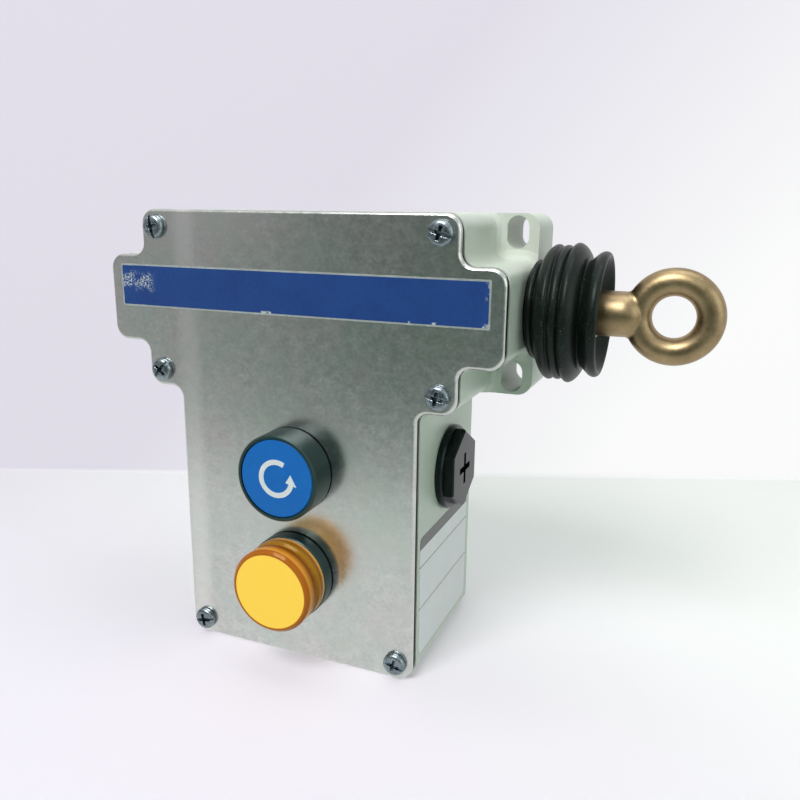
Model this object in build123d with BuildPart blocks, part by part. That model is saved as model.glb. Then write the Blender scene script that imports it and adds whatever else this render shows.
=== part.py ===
"""Rope pull switch: cast housing, reset button, pilot light and rope eye.

Millimetres. X runs along the rod towards the rope, Y runs into the wall, Z is up.
The origin is the centre of the four mounting slots, on the flat back face.
The rod's axis is level with the origin, so heights are taken from the rod.
"""

import math
import os

from build123d import *

# Face outline, mirrored about the middle: a shoulder block, a wider band, a narrower leg.
leg_width = 86.5
leg_bottom = -121.75
shoulder_step = 12.75
shoulder_height = 59.5
shoulder_width = leg_width + 2 * shoulder_step
band_step = 14.0
band_height = 29.5
band_width = shoulder_width + 2 * band_step
outer_radius = 5.0
inner_radius = 4.0

# Depths, each counted forwards from the flat back face.
housing_depth = 55.6
gasket_thickness = 2.4
cover_thickness = 1.8
ear_depth = 22.0
rod_set_back = 1.0
rod_depth = housing_depth / 2 - rod_set_back

# Casting.
wall = 4.0
floor_thickness = 4.0
ear_cove = 3.5
cove_facets = 3
edge_radius = 1.2
boss_radius = 4.5
pad_height = 2.0
pad_hole_depth = 4.0
pivot_boss_rim = 1.5

# Mounting slots.
slot_inset_x = 7.0
slot_inset_z = 6.0
slot_spacing_x = band_width - 2 * slot_inset_x
slot_spacing_z = shoulder_height - 2 * slot_inset_z
slot_width = 7.3
slot_length = 10.5

# Cover and gasket.
gasket_step = 1.4
gasket_land = 3.2
cover_edge_radius = 1.1
screw_inset = 5.7

# Screws.
m4_radius, m4_head_radius, m4_head_height = 2.0, 3.9, 2.4
m3_radius, m3_head_radius, m3_head_height = 1.5, 2.75, 1.8
m4_cross_width, m4_cross_length = 0.9, 5.0
m3_cross_width, m3_cross_length = 0.7, 3.4
cover_screw_length = 14.0
post_screw_grip = 8.0
terminal_screw_length = 5.0
terminal_hole_depth = 6.0
earth_screw_length = 4.5

# Fits and breaks of edges.
running_clearance = 0.05
screw_clearance = 0.05
press_clearance = 0.01
free_gap = 0.3
edge_break = 0.5
wire_sides = 4

# Cable entries.
entry_z = -56.4
entry_radius = 9.25
entry_pad_radius = 13.0
entry_pad_thickness = 4.0
bottom_entry_forward = 1.2
bottom_entry_depth = rod_depth + bottom_entry_forward
plug_flange_radius = 14.7
plug_flange_thickness = 1.8
plug_hex_flats = 24.0
plug_hex_height = 3.4
plug_cross_length = 11.0
plug_cross_width = 2.2
plug_cross_depth = 1.8
plug_seal_thickness = 0.8
seal_inset = 0.6

# Control heads, both of the 22 mm family with a 29 mm bezel.
reset_z = -53.6
lamp_z = -90.4
head_barrel_radius = 11.1
head_rim = 3.4
head_radius = head_barrel_radius + head_rim
head_hole_clearance = 0.15
head_hole_radius = head_barrel_radius + head_hole_clearance
head_seal_thickness = 0.6
head_nut_rim = 2.4
head_nut_radius = head_barrel_radius + head_nut_rim
head_nut_thickness = 3.0
barrel_length = 9.0
barrel_wall = 1.8
barrel_floor = 2.0

# Reset button.
bezel_height = 9.9
bezel_lip = 1.3
cap_thickness = 3.2
cap_recess = 0.2
cap_edge_radius = 0.4
cap_skirt = 2.0
reset_travel = 4.0
stem_radius = 4.0
stem_tip_radius = 3.5
stem_reach = 11.5
reset_wire = 1.0
reset_spring_gap = 0.7
reset_spring_turns = 4

# Pilot light.
lamp_base_height = 4.6
lens_height = 16.3
lens_inset = 0.3
lens_radius = head_radius - lens_inset
lens_tail_inset = 1.3
lens_tail_radius = head_radius - lens_tail_inset
lens_wall = 1.6
lens_seat_depth = 3.0
lens_ring_depth = 6.6
lens_groove_depth = 0.8
lens_groove_half_width = 1.2
bulb_radius = 4.4
bulb_shoulder = 4.0
bulb_socket_depth = 8.0
holder_head_length = 2.0
holder_radius = 8.5
holder_length = 22.0

# Rod and what rides on it.
rod_radius = 4.0
rod_end_gap = 8.0
rod_chamfer = 0.6
rod_travel = 20.0
bush_collar_radius = 11.5
bush_collar_length = 4.2
bush_spigot_radius = 7.5
bush_spigot_length = 12.0
bush_nut_flats = 19.0
bush_nut_thickness = 5.0
guide_bush_radius = 6.0
guide_bush_length = 10.0
guide_x = -band_width / 4
guide_post_radius = 9.5
collar_radius = 7.5
collar_half_length = 9.0
collar_neck_radius = 6.2
collar_flange_radius = 9.5
collar_flange_thickness = 3.0
collar_end = 20.0
seat_thickness = 1.2
seat_clearance = 0.4
return_wire = 1.8
return_turns = 6
return_inset = 0.6

# Trip lever: a fork astride the rod, turning about a pivot below it.
pivot_drop = 40.0
pivot_radius = 2.5
pivot_tail = 3.0
hub_radius = 5.5
cross_pin_radius = 2.5
cross_pin_chamfer = 0.3
cross_pin_overhang = 0.4
fork_gap = 9.3
fork_thickness = 2.8
fork_width = 12.0
fork_overrun = 6.0
fork_clearance = 0.2
nose_drop = 13.0
nose_radius = 2.5
lower_arm_width = 6.0
lower_arm_thickness = 3.5
clip_thickness = 0.8
clip_rim = 2.2
clip_mouth = 2.4
clip_groove_depth = 0.5

# Contact block and what slides in it.
block_side_gap = 5.25
block_height = 28.0
block_drop = 10.0
block_corner_radius = 1.5
block_screw_inset = 6.0
block_screw_rise = 14.0
slide_end_gap = 1.85
slide_sink = 0.5
slide_floor = 2.0
slide_clearance = 0.15
channel_end_wall = 3.0
channel_side_wall = 5.0
nose_room = 1.5
contact_strip_width = 4.0
contact_strip_thickness = 0.8
contact_margin = 0.4
contact_inset = 8.0
terminal_pitch = 6.0
terminal_gap = 1.25
terminal_rise = 4.5

# Reset lever, pushed by the button's stem.
reset_pivot_rise = 3.5
reset_lever_thickness = 2.0
reset_lever_width = 10.0
reset_lever_overlap = 4.6
lever_hub_radius = 3.0
lever_room = 1.4
lever_lug_thickness = 3.0
lever_lug_gap = 0.5
lever_pin_radius = 1.5
lever_wire = 0.6
lever_spring_radius = 2.2
lever_spring_turns = 3

# Terminal strip and earth, low in the leg.
strip_rise = 14.75
strip_width = 52.0
strip_height = 12.0
strip_depth = 14.0
strip_corner_radius = 1.0
strip_pad_inset = 4.0
strip_screw_count = 6
strip_screw_pitch = 8.0
wire_hole_radius = 2.0
wire_hole_depth = 4.0
earth_inset = 13.25
earth_z = -88.0
earth_clamp_size = 9.0
earth_clamp_thickness = 1.2

# Rubber boot, as distances from the end wall and radii: each fold runs from a valley
# (its distance, its radius) over a crest (its distance, its radius) to the next valley.
boot_gap = 0.1
boot_folds = (
    (0.6, 13.8, 1.7, 15.6),
    (3.2, 14.6, 6.8, 21.2),
    (8.6, 19.6, 10.2, 21.2),
    (11.8, 19.6, 14.3, 22.2),
)
fold_flat = 0.3
fold_slope = 0.4
boot_waist = (17.4, 16.6)
boot_throat = (18.4, 16.9)
boot_lip = (21.9, 19.4)
boot_mouth = (23.2, 18.2)
boot_rim_bevel = 0.6
boot_wall = 1.8
boot_sleeve_reach = 15.8
boot_sleeve_wall = 10.8
boot_socket_lip = 0.4
boot_socket_gap = 1.2

# Eye bolt, as distances from the end wall and radii.
eye_foot_reach = 20.7
eye_shank_reach = 28.0
eye_ring_reach = 43.0
eye_ring_radius = 10.5
eye_wire_radius = 4.2
eye_shank_radius = 7.0
eye_thread_length = 8.0
eye_thread_runout = 1.0
eye_blend = 2.0
washer_thickness = 1.0
washer_radius = 7.5

# Faces worked out from the sizes above.
shoulder_half = shoulder_width / 2
band_half_width = band_width / 2
band_half_height = band_height / 2
shoulder_top = shoulder_height / 2
leg_half = leg_width / 2
gasket_front = housing_depth + gasket_thickness
cover_front = gasket_front + cover_thickness
pad_face = floor_thickness + pad_height
pad_start = leg_half - wall - entry_pad_thickness
cover_screw_places = (
    (-shoulder_half + screw_inset, shoulder_top - screw_inset),
    (shoulder_half - screw_inset, shoulder_top - screw_inset),
    (-shoulder_half + screw_inset, -shoulder_top + screw_inset),
    (shoulder_half - screw_inset, -shoulder_top + screw_inset),
    (-leg_half + screw_inset, leg_bottom + screw_inset),
    (leg_half - screw_inset, leg_bottom + screw_inset),
)
slot_places = [
    (sx * slot_spacing_x / 2, sz * slot_spacing_z / 2) for sx in (-1, 1) for sz in (-1, 1)
]

# Along the rod.
pin_start_x = -rod_travel / 2
rod_start = -band_half_width + rod_end_gap
eye_foot = band_half_width + eye_foot_reach
rod_end = eye_foot + eye_thread_length
spigot_in = band_half_width - bush_spigot_length
seat_face = spigot_in - seat_thickness

# Across the trip lever and down to the contacts.
lever_start = math.degrees(math.atan2(rod_travel / 2, pivot_drop))
lever_back = rod_depth - fork_gap - fork_thickness
lever_front_face = rod_depth + fork_gap + fork_thickness
block_top = -pivot_drop - block_drop
block_bottom = block_top - block_height
slide_top = block_top - slide_sink
slide_slot_bottom = -pivot_drop - nose_drop - nose_radius - nose_room
slide_bottom = slide_slot_bottom - slide_floor
slide_start_x = nose_drop * math.sin(math.radians(lever_start))

# Behind the reset button, and the contact block between its lever and the rod.
stem_end = cover_front - stem_reach
reset_lever_front = stem_end - free_gap
reset_lever_depth = reset_lever_front - lever_hub_radius
reset_lever_z = block_bottom + reset_pivot_rise
reset_lever_top = reset_z + reset_lever_overlap
lug_length = lever_hub_radius + lever_room
lug_x = reset_lever_width / 2 + lever_lug_gap + lever_lug_thickness / 2
lug_side = lug_x + lever_lug_thickness / 2
block_front = reset_lever_depth - lug_length
block_depth = 2 * (block_front - rod_depth)
block_back = block_front - block_depth
block_width = 2 * (pad_start - block_side_gap)
slide_depth = block_depth - 2 * channel_side_wall
slide_length = block_width - 2 * (channel_end_wall + slide_start_x + slide_end_gap)
contact_xs = (-slide_length / 2 + contact_inset, slide_length / 2 - contact_inset)
block_screw_x = block_width / 2 - block_screw_inset
block_screw_places = [(side * block_screw_x, block_bottom + block_screw_rise) for side in (-1, 1)]
terminal_start = lug_side + m3_head_radius + terminal_gap
terminal_xs = [side * (terminal_start + i * terminal_pitch) for side in (-1, 1) for i in (0, 1)]
terminal_places = [(x, block_bottom + terminal_rise) for x in terminal_xs]

# Low in the leg.
earth_x = -leg_half + earth_inset
strip_z = leg_bottom + strip_rise
strip_pads = [(side * (strip_width / 2 - strip_pad_inset), strip_z) for side in (-1, 1)]
strip_face = pad_face + strip_depth
strip_screw_xs = [
    (i - (strip_screw_count - 1) / 2) * strip_screw_pitch for i in range(strip_screw_count)
]

# Axes and planes that several pieces share.
rod_axis = Axis((0, -rod_depth, 0), (1, 0, 0))
rod_plane = Plane(origin=(0, -rod_depth, 0), x_dir=(1, 0, 0), z_dir=(0, -1, 0))
pivot_axis = Axis((0, 0, -pivot_drop), (0, 1, 0))


def front(depth):
    """Plane parallel to the back face, this far in front of it, facing out."""
    return Plane.XZ.offset(depth)


def head_axis(height):
    """Axis of a control head at this height."""
    return Axis((0, 0, height), (0, -1, 0))


def head_plane(height):
    """Plane through a head's axis: X counts out from the cover, Y is the radius."""
    return Plane(origin=(0, -cover_front, height), x_dir=(0, -1, 0), z_dir=(-1, 0, 0))


def entry_plane(x):
    """Plane across a side cable entry's axis, at this X."""
    return Plane(origin=(x, -rod_depth, entry_z), x_dir=(0, 1, 0), z_dir=(1, 0, 0))


def face_outline(inset):
    """Outline of the switch's face, moved in by inset all round."""
    with BuildSketch() as outline:
        Rectangle(shoulder_width, shoulder_height)
        Rectangle(band_width, band_height)
        with Locations((0, (leg_bottom - shoulder_top) / 2)):
            Rectangle(leg_width, -leg_bottom - shoulder_top)
        with Locations((0, -shoulder_top)):
            Rectangle(leg_width, 2 * inner_radius)
        corners = outline.vertices()
        notches = corners.filter_by(
            lambda v: (
                math.isclose(abs(v.X), shoulder_half)
                and math.isclose(abs(v.Y), band_half_height)
            )
            or (math.isclose(abs(v.X), leg_half) and math.isclose(v.Y, -shoulder_top))
        )
        fillet(notches, inner_radius)
        corners = outline.vertices()
        tips = corners.filter_by(
            lambda v: any(
                math.isclose(abs(v.X), x, abs_tol=1e-4) and math.isclose(v.Y, y, abs_tol=1e-4)
                for x, y in (
                    (shoulder_half, shoulder_top),
                    (band_half_width, band_half_height),
                    (band_half_width, -band_half_height),
                    (shoulder_half, -shoulder_top),
                    (leg_half, leg_bottom),
                )
            )
        )
        fillet(tips, outer_radius)
        if inset:
            offset(amount=-inset, mode=Mode.REPLACE)
    return outline.sketch


# Coves that run the body's sides out into the ears: a quarter round in flat facets.
with BuildPart() as ear_coves:
    turns = [math.radians(90 * i / cove_facets) for i in range(cove_facets + 1)]
    for low, high in zip(turns, turns[1:]):
        spread = ear_cove * (1 - math.cos(low))
        rise = ear_cove * (1 - math.sin(low))
        drop = ear_cove * (math.sin(high) - math.sin(low))
        with BuildSketch(front(ear_depth + rise)):
            add(face_outline(-spread))
        extrude(amount=-drop, taper=-math.degrees(low + high) / 2)
    with BuildSketch(front(0)):
        RectangleRounded(band_width, shoulder_height, outer_radius)
        add(face_outline(wall), mode=Mode.SUBTRACT)
    extrude(amount=ear_depth + ear_cove, mode=Mode.INTERSECT)

# Housing: one casting with a T-shaped cavity that is open at the front.
with BuildPart() as housing:
    with BuildSketch(front(0)):
        add(face_outline(0))
    extrude(amount=housing_depth)
    with BuildSketch(front(0)):
        RectangleRounded(band_width, shoulder_height, outer_radius)
    extrude(amount=ear_depth)
    add(ear_coves.part)

    rear_rim = housing.edges().group_by(Axis.Y)[-1]
    fillet(rear_rim, edge_radius)

    # The cavity, then what stands inside it.
    with BuildSketch(front(floor_thickness)):
        add(face_outline(wall))
    extrude(amount=housing_depth, mode=Mode.SUBTRACT)
    with BuildSketch(front(0)):
        with Locations(*cover_screw_places):
            Circle(boss_radius)
    extrude(amount=housing_depth)

    # Guide post for the rod, with its bush across it.
    with BuildSketch(front(0)):
        with Locations((guide_x, 0)):
            Rectangle(guide_bush_length, 2 * guide_post_radius)
    extrude(amount=rod_depth)
    with BuildSketch(Plane.YZ.offset(guide_x)):
        with Locations((-rod_depth, 0)):
            Circle(guide_post_radius)
    extrude(amount=guide_bush_length / 2, both=True)

    # Pivot boss of the trip lever, and the posts of the contact block.
    with BuildSketch(front(0)):
        with Locations((0, -pivot_drop)):
            Circle(hub_radius + pivot_boss_rim)
    extrude(amount=lever_back - free_gap)
    with BuildSketch(front(0)):
        with Locations(*block_screw_places):
            Circle(boss_radius)
    extrude(amount=block_back)

    # Pads behind the terminal strip and under the earth clamp.
    with BuildSketch(front(0)):
        with Locations(*strip_pads):
            Circle(boss_radius)
        with Locations((earth_x, earth_z)):
            Circle(boss_radius)
    extrude(amount=pad_face)

    # Pads that carry the entry threads: one in each side, one in the bottom.
    for side in (-1, 1):
        with BuildSketch(entry_plane(side * pad_start)):
            Circle(entry_pad_radius)
        extrude(amount=side * (entry_pad_thickness + wall / 2))
    bottom_inside = leg_bottom + wall
    with BuildSketch(Plane.XY.offset(bottom_inside - wall / 2)):
        with Locations((0, -bottom_entry_depth)):
            Circle(entry_pad_radius)
    extrude(amount=entry_pad_thickness + wall / 2)

    # Holes.
    with BuildSketch(front(0)):
        with Locations(*slot_places):
            SlotOverall(slot_length, slot_width, rotation=90)
    extrude(amount=ear_depth, mode=Mode.SUBTRACT)
    with BuildSketch(front(housing_depth)):
        with Locations(*cover_screw_places):
            Circle(m4_radius + screw_clearance)
    extrude(amount=-cover_screw_length, mode=Mode.SUBTRACT)
    for side in (-1, 1):
        with BuildSketch(entry_plane(side * pad_start)):
            Circle(entry_radius)
        extrude(amount=side * (entry_pad_thickness + 2 * wall), mode=Mode.SUBTRACT)
    with BuildSketch(Plane.XY.offset(leg_bottom)):
        with Locations((0, -bottom_entry_depth)):
            Circle(entry_radius)
    extrude(amount=wall + entry_pad_thickness, mode=Mode.SUBTRACT)
    with BuildSketch(Plane.YZ.offset(band_half_width)):
        with Locations((-rod_depth, 0)):
            Circle(bush_spigot_radius + running_clearance)
    extrude(amount=-2 * wall, mode=Mode.SUBTRACT)
    with BuildSketch(Plane.YZ.offset(guide_x)):
        with Locations((-rod_depth, 0)):
            Circle(guide_bush_radius + press_clearance)
    extrude(amount=guide_bush_length, both=True, mode=Mode.SUBTRACT)
    with BuildSketch(front(lever_back)):
        with Locations((0, -pivot_drop)):
            Circle(pivot_radius + press_clearance)
    extrude(amount=-(lever_back - floor_thickness), mode=Mode.SUBTRACT)
    with BuildSketch(front(block_back)):
        with Locations(*block_screw_places):
            Circle(m3_radius + screw_clearance)
    extrude(amount=-(block_back - floor_thickness), mode=Mode.SUBTRACT)
    with BuildSketch(front(pad_face)):
        with Locations(*strip_pads):
            Circle(m3_radius + screw_clearance)
        with Locations((earth_x, earth_z)):
            Circle(m4_radius + screw_clearance)
    extrude(amount=-pad_hole_depth, mode=Mode.SUBTRACT)

# Gasket: a ring as wide as the housing's rim, set in from the edge.
with BuildPart() as cover_gasket:
    with BuildSketch(front(housing_depth)):
        add(face_outline(gasket_step))
        add(face_outline(gasket_step + gasket_land), mode=Mode.SUBTRACT)
    extrude(amount=gasket_thickness)
    with BuildSketch(front(housing_depth)):
        with Locations(*cover_screw_places):
            Circle(boss_radius)
    extrude(amount=gasket_thickness)
    with BuildSketch(front(housing_depth)):
        with Locations(*cover_screw_places):
            Circle(m4_radius + screw_clearance)
    extrude(amount=gasket_thickness, mode=Mode.SUBTRACT)

# Cover: pressed steel with a rolled edge, two head holes and six screw holes.
with BuildPart() as cover:
    with BuildSketch(front(gasket_front)):
        add(face_outline(0))
    extrude(amount=cover_thickness)
    front_rim = cover.edges().group_by(Axis.Y)[0]
    fillet(front_rim, cover_edge_radius)
    with BuildSketch(front(gasket_front)):
        with Locations((0, reset_z), (0, lamp_z)):
            Circle(head_hole_radius)
        with Locations(*cover_screw_places):
            Circle(m4_radius + screw_clearance)
    extrude(amount=cover_thickness, mode=Mode.SUBTRACT)

# Cover screws: M4 pan heads with a combined slot and cross.
with BuildPart() as cover_screws:
    with BuildSketch(front(cover_front)):
        with Locations(*cover_screw_places):
            Circle(m4_head_radius)
    extrude(amount=m4_head_height)
    head_rims = cover_screws.edges().group_by(Axis.Y)[0]
    chamfer(head_rims, m4_head_height / 3)
    with BuildSketch(front(cover_front)):
        with Locations(*cover_screw_places):
            Circle(m4_radius)
    extrude(amount=-(cover_screw_length - gasket_thickness))
    with BuildSketch(front(cover_front + m4_head_height)):
        with Locations(*cover_screw_places):
            Rectangle(m4_cross_width, m4_cross_length)
            Rectangle(m4_cross_length, m4_cross_width)
    extrude(amount=-m4_head_height / 2, mode=Mode.SUBTRACT)

# Blanking plugs: hexagon, flange and thread, one in each side entry.
with BuildPart() as entry_plugs:
    flange_start = leg_half + plug_seal_thickness
    with BuildSketch(entry_plane(flange_start)):
        Circle(plug_flange_radius)
    extrude(amount=plug_flange_thickness)
    flange_rim = entry_plugs.edges().sort_by(Axis.X)[-1]
    chamfer(flange_rim, plug_flange_thickness / 3)
    hex_start = flange_start + plug_flange_thickness
    with BuildSketch(entry_plane(hex_start)):
        RegularPolygon(plug_hex_flats / 2, 6, major_radius=False, rotation=30)
    extrude(amount=plug_hex_height)
    top_face = entry_plugs.faces().sort_by(Axis.X)[-1]
    chamfer(top_face.edges(), edge_break)
    with BuildSketch(entry_plane(hex_start + plug_hex_height)):
        Rectangle(plug_cross_length, plug_cross_width)
        Rectangle(plug_cross_width, plug_cross_length)
    extrude(amount=-plug_cross_depth, mode=Mode.SUBTRACT)
    with BuildSketch(entry_plane(flange_start)):
        Circle(entry_radius - screw_clearance)
    extrude(amount=-(wall + plug_seal_thickness))
    mirror(about=Plane.YZ)

# Flat seals under the plugs' flanges.
with BuildPart() as plug_seals:
    with BuildSketch(entry_plane(leg_half)):
        Circle(plug_flange_radius - seal_inset)
        Circle(entry_radius, mode=Mode.SUBTRACT)
    extrude(amount=plug_seal_thickness)
    mirror(about=Plane.YZ)

# Reset head: a bezel in front of the cover and a barrel through it.
with BuildPart() as reset_bezel:
    bezel_front = head_seal_thickness + bezel_height
    cap_radius = head_radius - bezel_lip
    cap_floor = bezel_front - cap_recess - cap_thickness - reset_travel - free_gap
    with BuildSketch(head_plane(reset_z)):
        with BuildLine():
            Polyline(
                (bezel_front, cap_radius),
                (bezel_front, head_radius - edge_break),
                (bezel_front - edge_break, head_radius),
                (head_seal_thickness, head_radius),
                (head_seal_thickness, head_barrel_radius),
                (-barrel_length, head_barrel_radius),
                (-barrel_length, stem_radius + running_clearance),
                (-barrel_length + barrel_floor, stem_radius + running_clearance),
                (-barrel_length + barrel_floor, head_barrel_radius - barrel_wall),
                (cap_floor, head_barrel_radius - barrel_wall),
                (cap_floor, cap_radius),
                close=True,
            )
        make_face()
    revolve(axis=head_axis(reset_z))

# Reset cap: the blue disc, with a skirt that slides in the bezel.
with BuildPart() as reset_cap:
    cap_front = bezel_front - cap_recess
    with BuildSketch(front(cover_front + cap_front)):
        with Locations((0, reset_z)):
            Circle(cap_radius - running_clearance)
    extrude(amount=-cap_thickness)
    cap_rim = reset_cap.edges().group_by(Axis.Y)[0]
    chamfer(cap_rim, cap_edge_radius)
    with BuildSketch(front(cover_front + cap_front - cap_thickness)):
        with Locations((0, reset_z)):
            Circle(stem_radius + cap_skirt)
            Circle(stem_radius, mode=Mode.SUBTRACT)
    extrude(amount=-cap_skirt)

# Reset stem: carries the push through the barrel to the reset lever.
with BuildPart() as reset_stem:
    with BuildSketch(front(cover_front + cap_front - cap_thickness)):
        with Locations((0, reset_z)):
            Circle(stem_radius)
    extrude(amount=-(cap_front - cap_thickness + stem_reach))
    tip_edge = reset_stem.edges().group_by(Axis.Y)[-1]
    fillet(tip_edge, stem_tip_radius)

# Reset spring: between the barrel's floor and the cap's skirt.
with BuildPart() as reset_spring:
    reset_spring_start = -barrel_length + barrel_floor
    reset_spring_end = cap_front - cap_thickness - cap_skirt
    reset_spring_radius = stem_radius + reset_spring_gap + reset_wire / 2
    reset_spring_length = reset_spring_end - reset_spring_start - reset_wire
    with BuildLine():
        coil = Helix(
            reset_spring_length / reset_spring_turns,
            reset_spring_length,
            reset_spring_radius,
            center=(0, -cover_front - reset_spring_start - reset_wire / 2, reset_z),
            direction=(0, -1, 0),
        )
    with BuildSketch(Plane(origin=coil @ 0, z_dir=coil % 0)):
        RegularPolygon(reset_wire / 2, wire_sides)
    sweep(is_frenet=True)

# Lamp head: the dark base, with a barrel through the cover.
with BuildPart() as lamp_base:
    base_front = head_seal_thickness + lamp_base_height
    with BuildSketch(head_plane(lamp_z)):
        with BuildLine():
            Polyline(
                (base_front, lens_tail_radius + running_clearance),
                (base_front, head_radius - edge_break),
                (base_front - edge_break, head_radius),
                (head_seal_thickness, head_radius),
                (head_seal_thickness, head_barrel_radius),
                (-barrel_length, head_barrel_radius),
                (-barrel_length, head_barrel_radius - barrel_wall),
                (base_front - lens_seat_depth, head_barrel_radius - barrel_wall),
                (base_front - lens_seat_depth, lens_tail_radius + running_clearance),
                close=True,
            )
        make_face()
    revolve(axis=head_axis(lamp_z))

# Lamp lens: amber cup with a groove behind its front ring, and a narrower tail in the base.
with BuildPart() as lamp_lens:
    groove = lens_height - lens_ring_depth
    waist_radius = lens_radius - lens_groove_depth
    lens_bore = lens_tail_radius - lens_wall
    with BuildSketch(head_plane(lamp_z)):
        with BuildLine():
            Polyline(
                (base_front - lens_seat_depth, lens_bore),
                (base_front - lens_seat_depth, lens_tail_radius),
                (base_front + running_clearance, lens_tail_radius),
                (base_front + running_clearance, lens_radius),
                (groove - lens_groove_half_width, lens_radius),
                (groove - lens_groove_half_width / 2, waist_radius),
                (groove + lens_groove_half_width / 2, waist_radius),
                (groove + lens_groove_half_width, lens_radius),
                (lens_height - lens_groove_depth, lens_radius),
                (lens_height, waist_radius),
                (lens_height, 0),
                (lens_height - lens_wall, 0),
                (lens_height - lens_wall, lens_bore),
                close=True,
            )
        make_face()
    revolve(axis=head_axis(lamp_z))

# Lamp holder: a round socket pushed into the barrel from behind.
with BuildPart() as lamp_holder:
    holder_face = cover_front - barrel_length + holder_head_length
    with BuildSketch(front(holder_face)):
        with Locations((0, lamp_z)):
            Circle(head_barrel_radius - barrel_wall - press_clearance)
    extrude(amount=-holder_head_length)
    with BuildSketch(front(cover_front - barrel_length)):
        with Locations((0, lamp_z)):
            Circle(holder_radius)
    extrude(amount=-(holder_length - barrel_length))
    with BuildSketch(front(holder_face)):
        with Locations((0, lamp_z)):
            Circle(bulb_radius + screw_clearance)
    extrude(amount=-bulb_socket_depth, mode=Mode.SUBTRACT)

# Bulb: a metal base in the holder, a round glass end in the lens.
with BuildPart() as lamp_bulb:
    bulb_start = holder_face - bulb_socket_depth - cover_front
    with BuildSketch(head_plane(lamp_z)):
        with BuildLine():
            Line((bulb_start, 0), (bulb_start, bulb_radius))
            Line((bulb_start, bulb_radius), (bulb_shoulder, bulb_radius))
            RadiusArc((bulb_shoulder, bulb_radius), (bulb_shoulder + bulb_radius, 0), bulb_radius)
            Line((bulb_shoulder + bulb_radius, 0), (bulb_start, 0))
        make_face()
    revolve(axis=head_axis(lamp_z))


def head_ring(height, start, thickness, outer, inner):
    """Flat ring round a head's axis, between the cover and a bezel or behind the cover."""
    with BuildPart() as ring:
        with BuildSketch(front(start)):
            with Locations((0, height)):
                Circle(outer)
                Circle(inner, mode=Mode.SUBTRACT)
        extrude(amount=thickness)
    return ring.part


seal_radius = head_radius - seal_inset
nut_bore = head_barrel_radius + screw_clearance
reset_seal = head_ring(reset_z, cover_front, head_seal_thickness, seal_radius, head_barrel_radius)
lamp_seal = head_ring(lamp_z, cover_front, head_seal_thickness, seal_radius, head_barrel_radius)
reset_nut = head_ring(reset_z, gasket_front, -head_nut_thickness, head_nut_radius, nut_bore)
lamp_nut = head_ring(lamp_z, gasket_front, -head_nut_thickness, head_nut_radius, nut_bore)

# Rod bush: a collar outside the wall for the boot, and a threaded spigot inside.
with BuildPart() as rod_bush:
    collar_out = band_half_width + bush_collar_length
    with BuildSketch(rod_plane):
        with BuildLine():
            Polyline(
                (collar_out, rod_radius + running_clearance),
                (collar_out, bush_collar_radius),
                (band_half_width, bush_collar_radius),
                (band_half_width, bush_spigot_radius),
                (spigot_in, bush_spigot_radius),
                (spigot_in, rod_radius + running_clearance),
                close=True,
            )
        make_face()
    revolve(axis=rod_axis)

# Nut on the bush, inside the end wall.
with BuildPart() as bush_nut:
    with BuildSketch(Plane.YZ.offset(band_half_width - wall)):
        with Locations((-rod_depth, 0)):
            RegularPolygon(bush_nut_flats / 2, 6, major_radius=False)
            Circle(bush_spigot_radius + screw_clearance, mode=Mode.SUBTRACT)
    extrude(amount=-bush_nut_thickness)

# Second bush for the rod's far end, in the guide post.
with BuildPart() as guide_bush:
    with BuildSketch(Plane.YZ.offset(guide_x)):
        with Locations((-rod_depth, 0)):
            Circle(guide_bush_radius)
            Circle(rod_radius + running_clearance, mode=Mode.SUBTRACT)
    extrude(amount=guide_bush_length / 2, both=True)

# Pull rod: straight bar, cross-drilled for the pin, its end screwed into the eye.
with BuildPart() as pull_rod:
    with BuildSketch(Plane.YZ.offset(rod_start)):
        with Locations((-rod_depth, 0)):
            Circle(rod_radius)
    extrude(amount=rod_end - rod_start)
    end_edges = pull_rod.edges().group_by(Axis.X)
    chamfer(end_edges[0] + end_edges[-1], rod_chamfer)
    with BuildSketch(front(rod_depth)):
        with Locations((pin_start_x, 0)):
            Circle(cross_pin_radius + press_clearance)
    extrude(amount=2 * rod_radius, both=True, mode=Mode.SUBTRACT)

# Cam collar: pinned to the rod, with a flange that the return spring pushes on.
with BuildPart() as cam_collar:
    with BuildSketch(rod_plane):
        with BuildLine():
            Polyline(
                (pin_start_x - collar_half_length, rod_radius + press_clearance),
                (pin_start_x - collar_half_length, collar_radius),
                (pin_start_x + collar_half_length, collar_radius),
                (pin_start_x + collar_half_length, collar_neck_radius),
                (collar_end - collar_flange_thickness, collar_neck_radius),
                (collar_end - collar_flange_thickness, collar_flange_radius),
                (collar_end, collar_flange_radius),
                (collar_end, rod_radius + press_clearance),
                close=True,
            )
        make_face()
    revolve(axis=rod_axis)
    with BuildSketch(front(rod_depth)):
        with Locations((pin_start_x, 0)):
            Circle(cross_pin_radius + press_clearance)
    extrude(amount=2 * collar_radius, both=True, mode=Mode.SUBTRACT)

# Cross pin: holds the collar on the rod and drives the trip lever's fork.
with BuildPart() as cross_pin:
    with BuildSketch(front(rod_depth)):
        with Locations((pin_start_x, 0)):
            Circle(cross_pin_radius)
    extrude(amount=fork_gap + fork_thickness + cross_pin_overhang, both=True)
    chamfer(cross_pin.edges().filter_by(GeomType.CIRCLE), cross_pin_chamfer)

# Return spring, between the collar's flange and a seat washer on the bush.
with BuildPart() as spring_seat:
    with BuildSketch(Plane.YZ.offset(seat_face)):
        with Locations((-rod_depth, 0)):
            Circle(collar_flange_radius)
            Circle(rod_radius + seat_clearance, mode=Mode.SUBTRACT)
    extrude(amount=seat_thickness)

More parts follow.
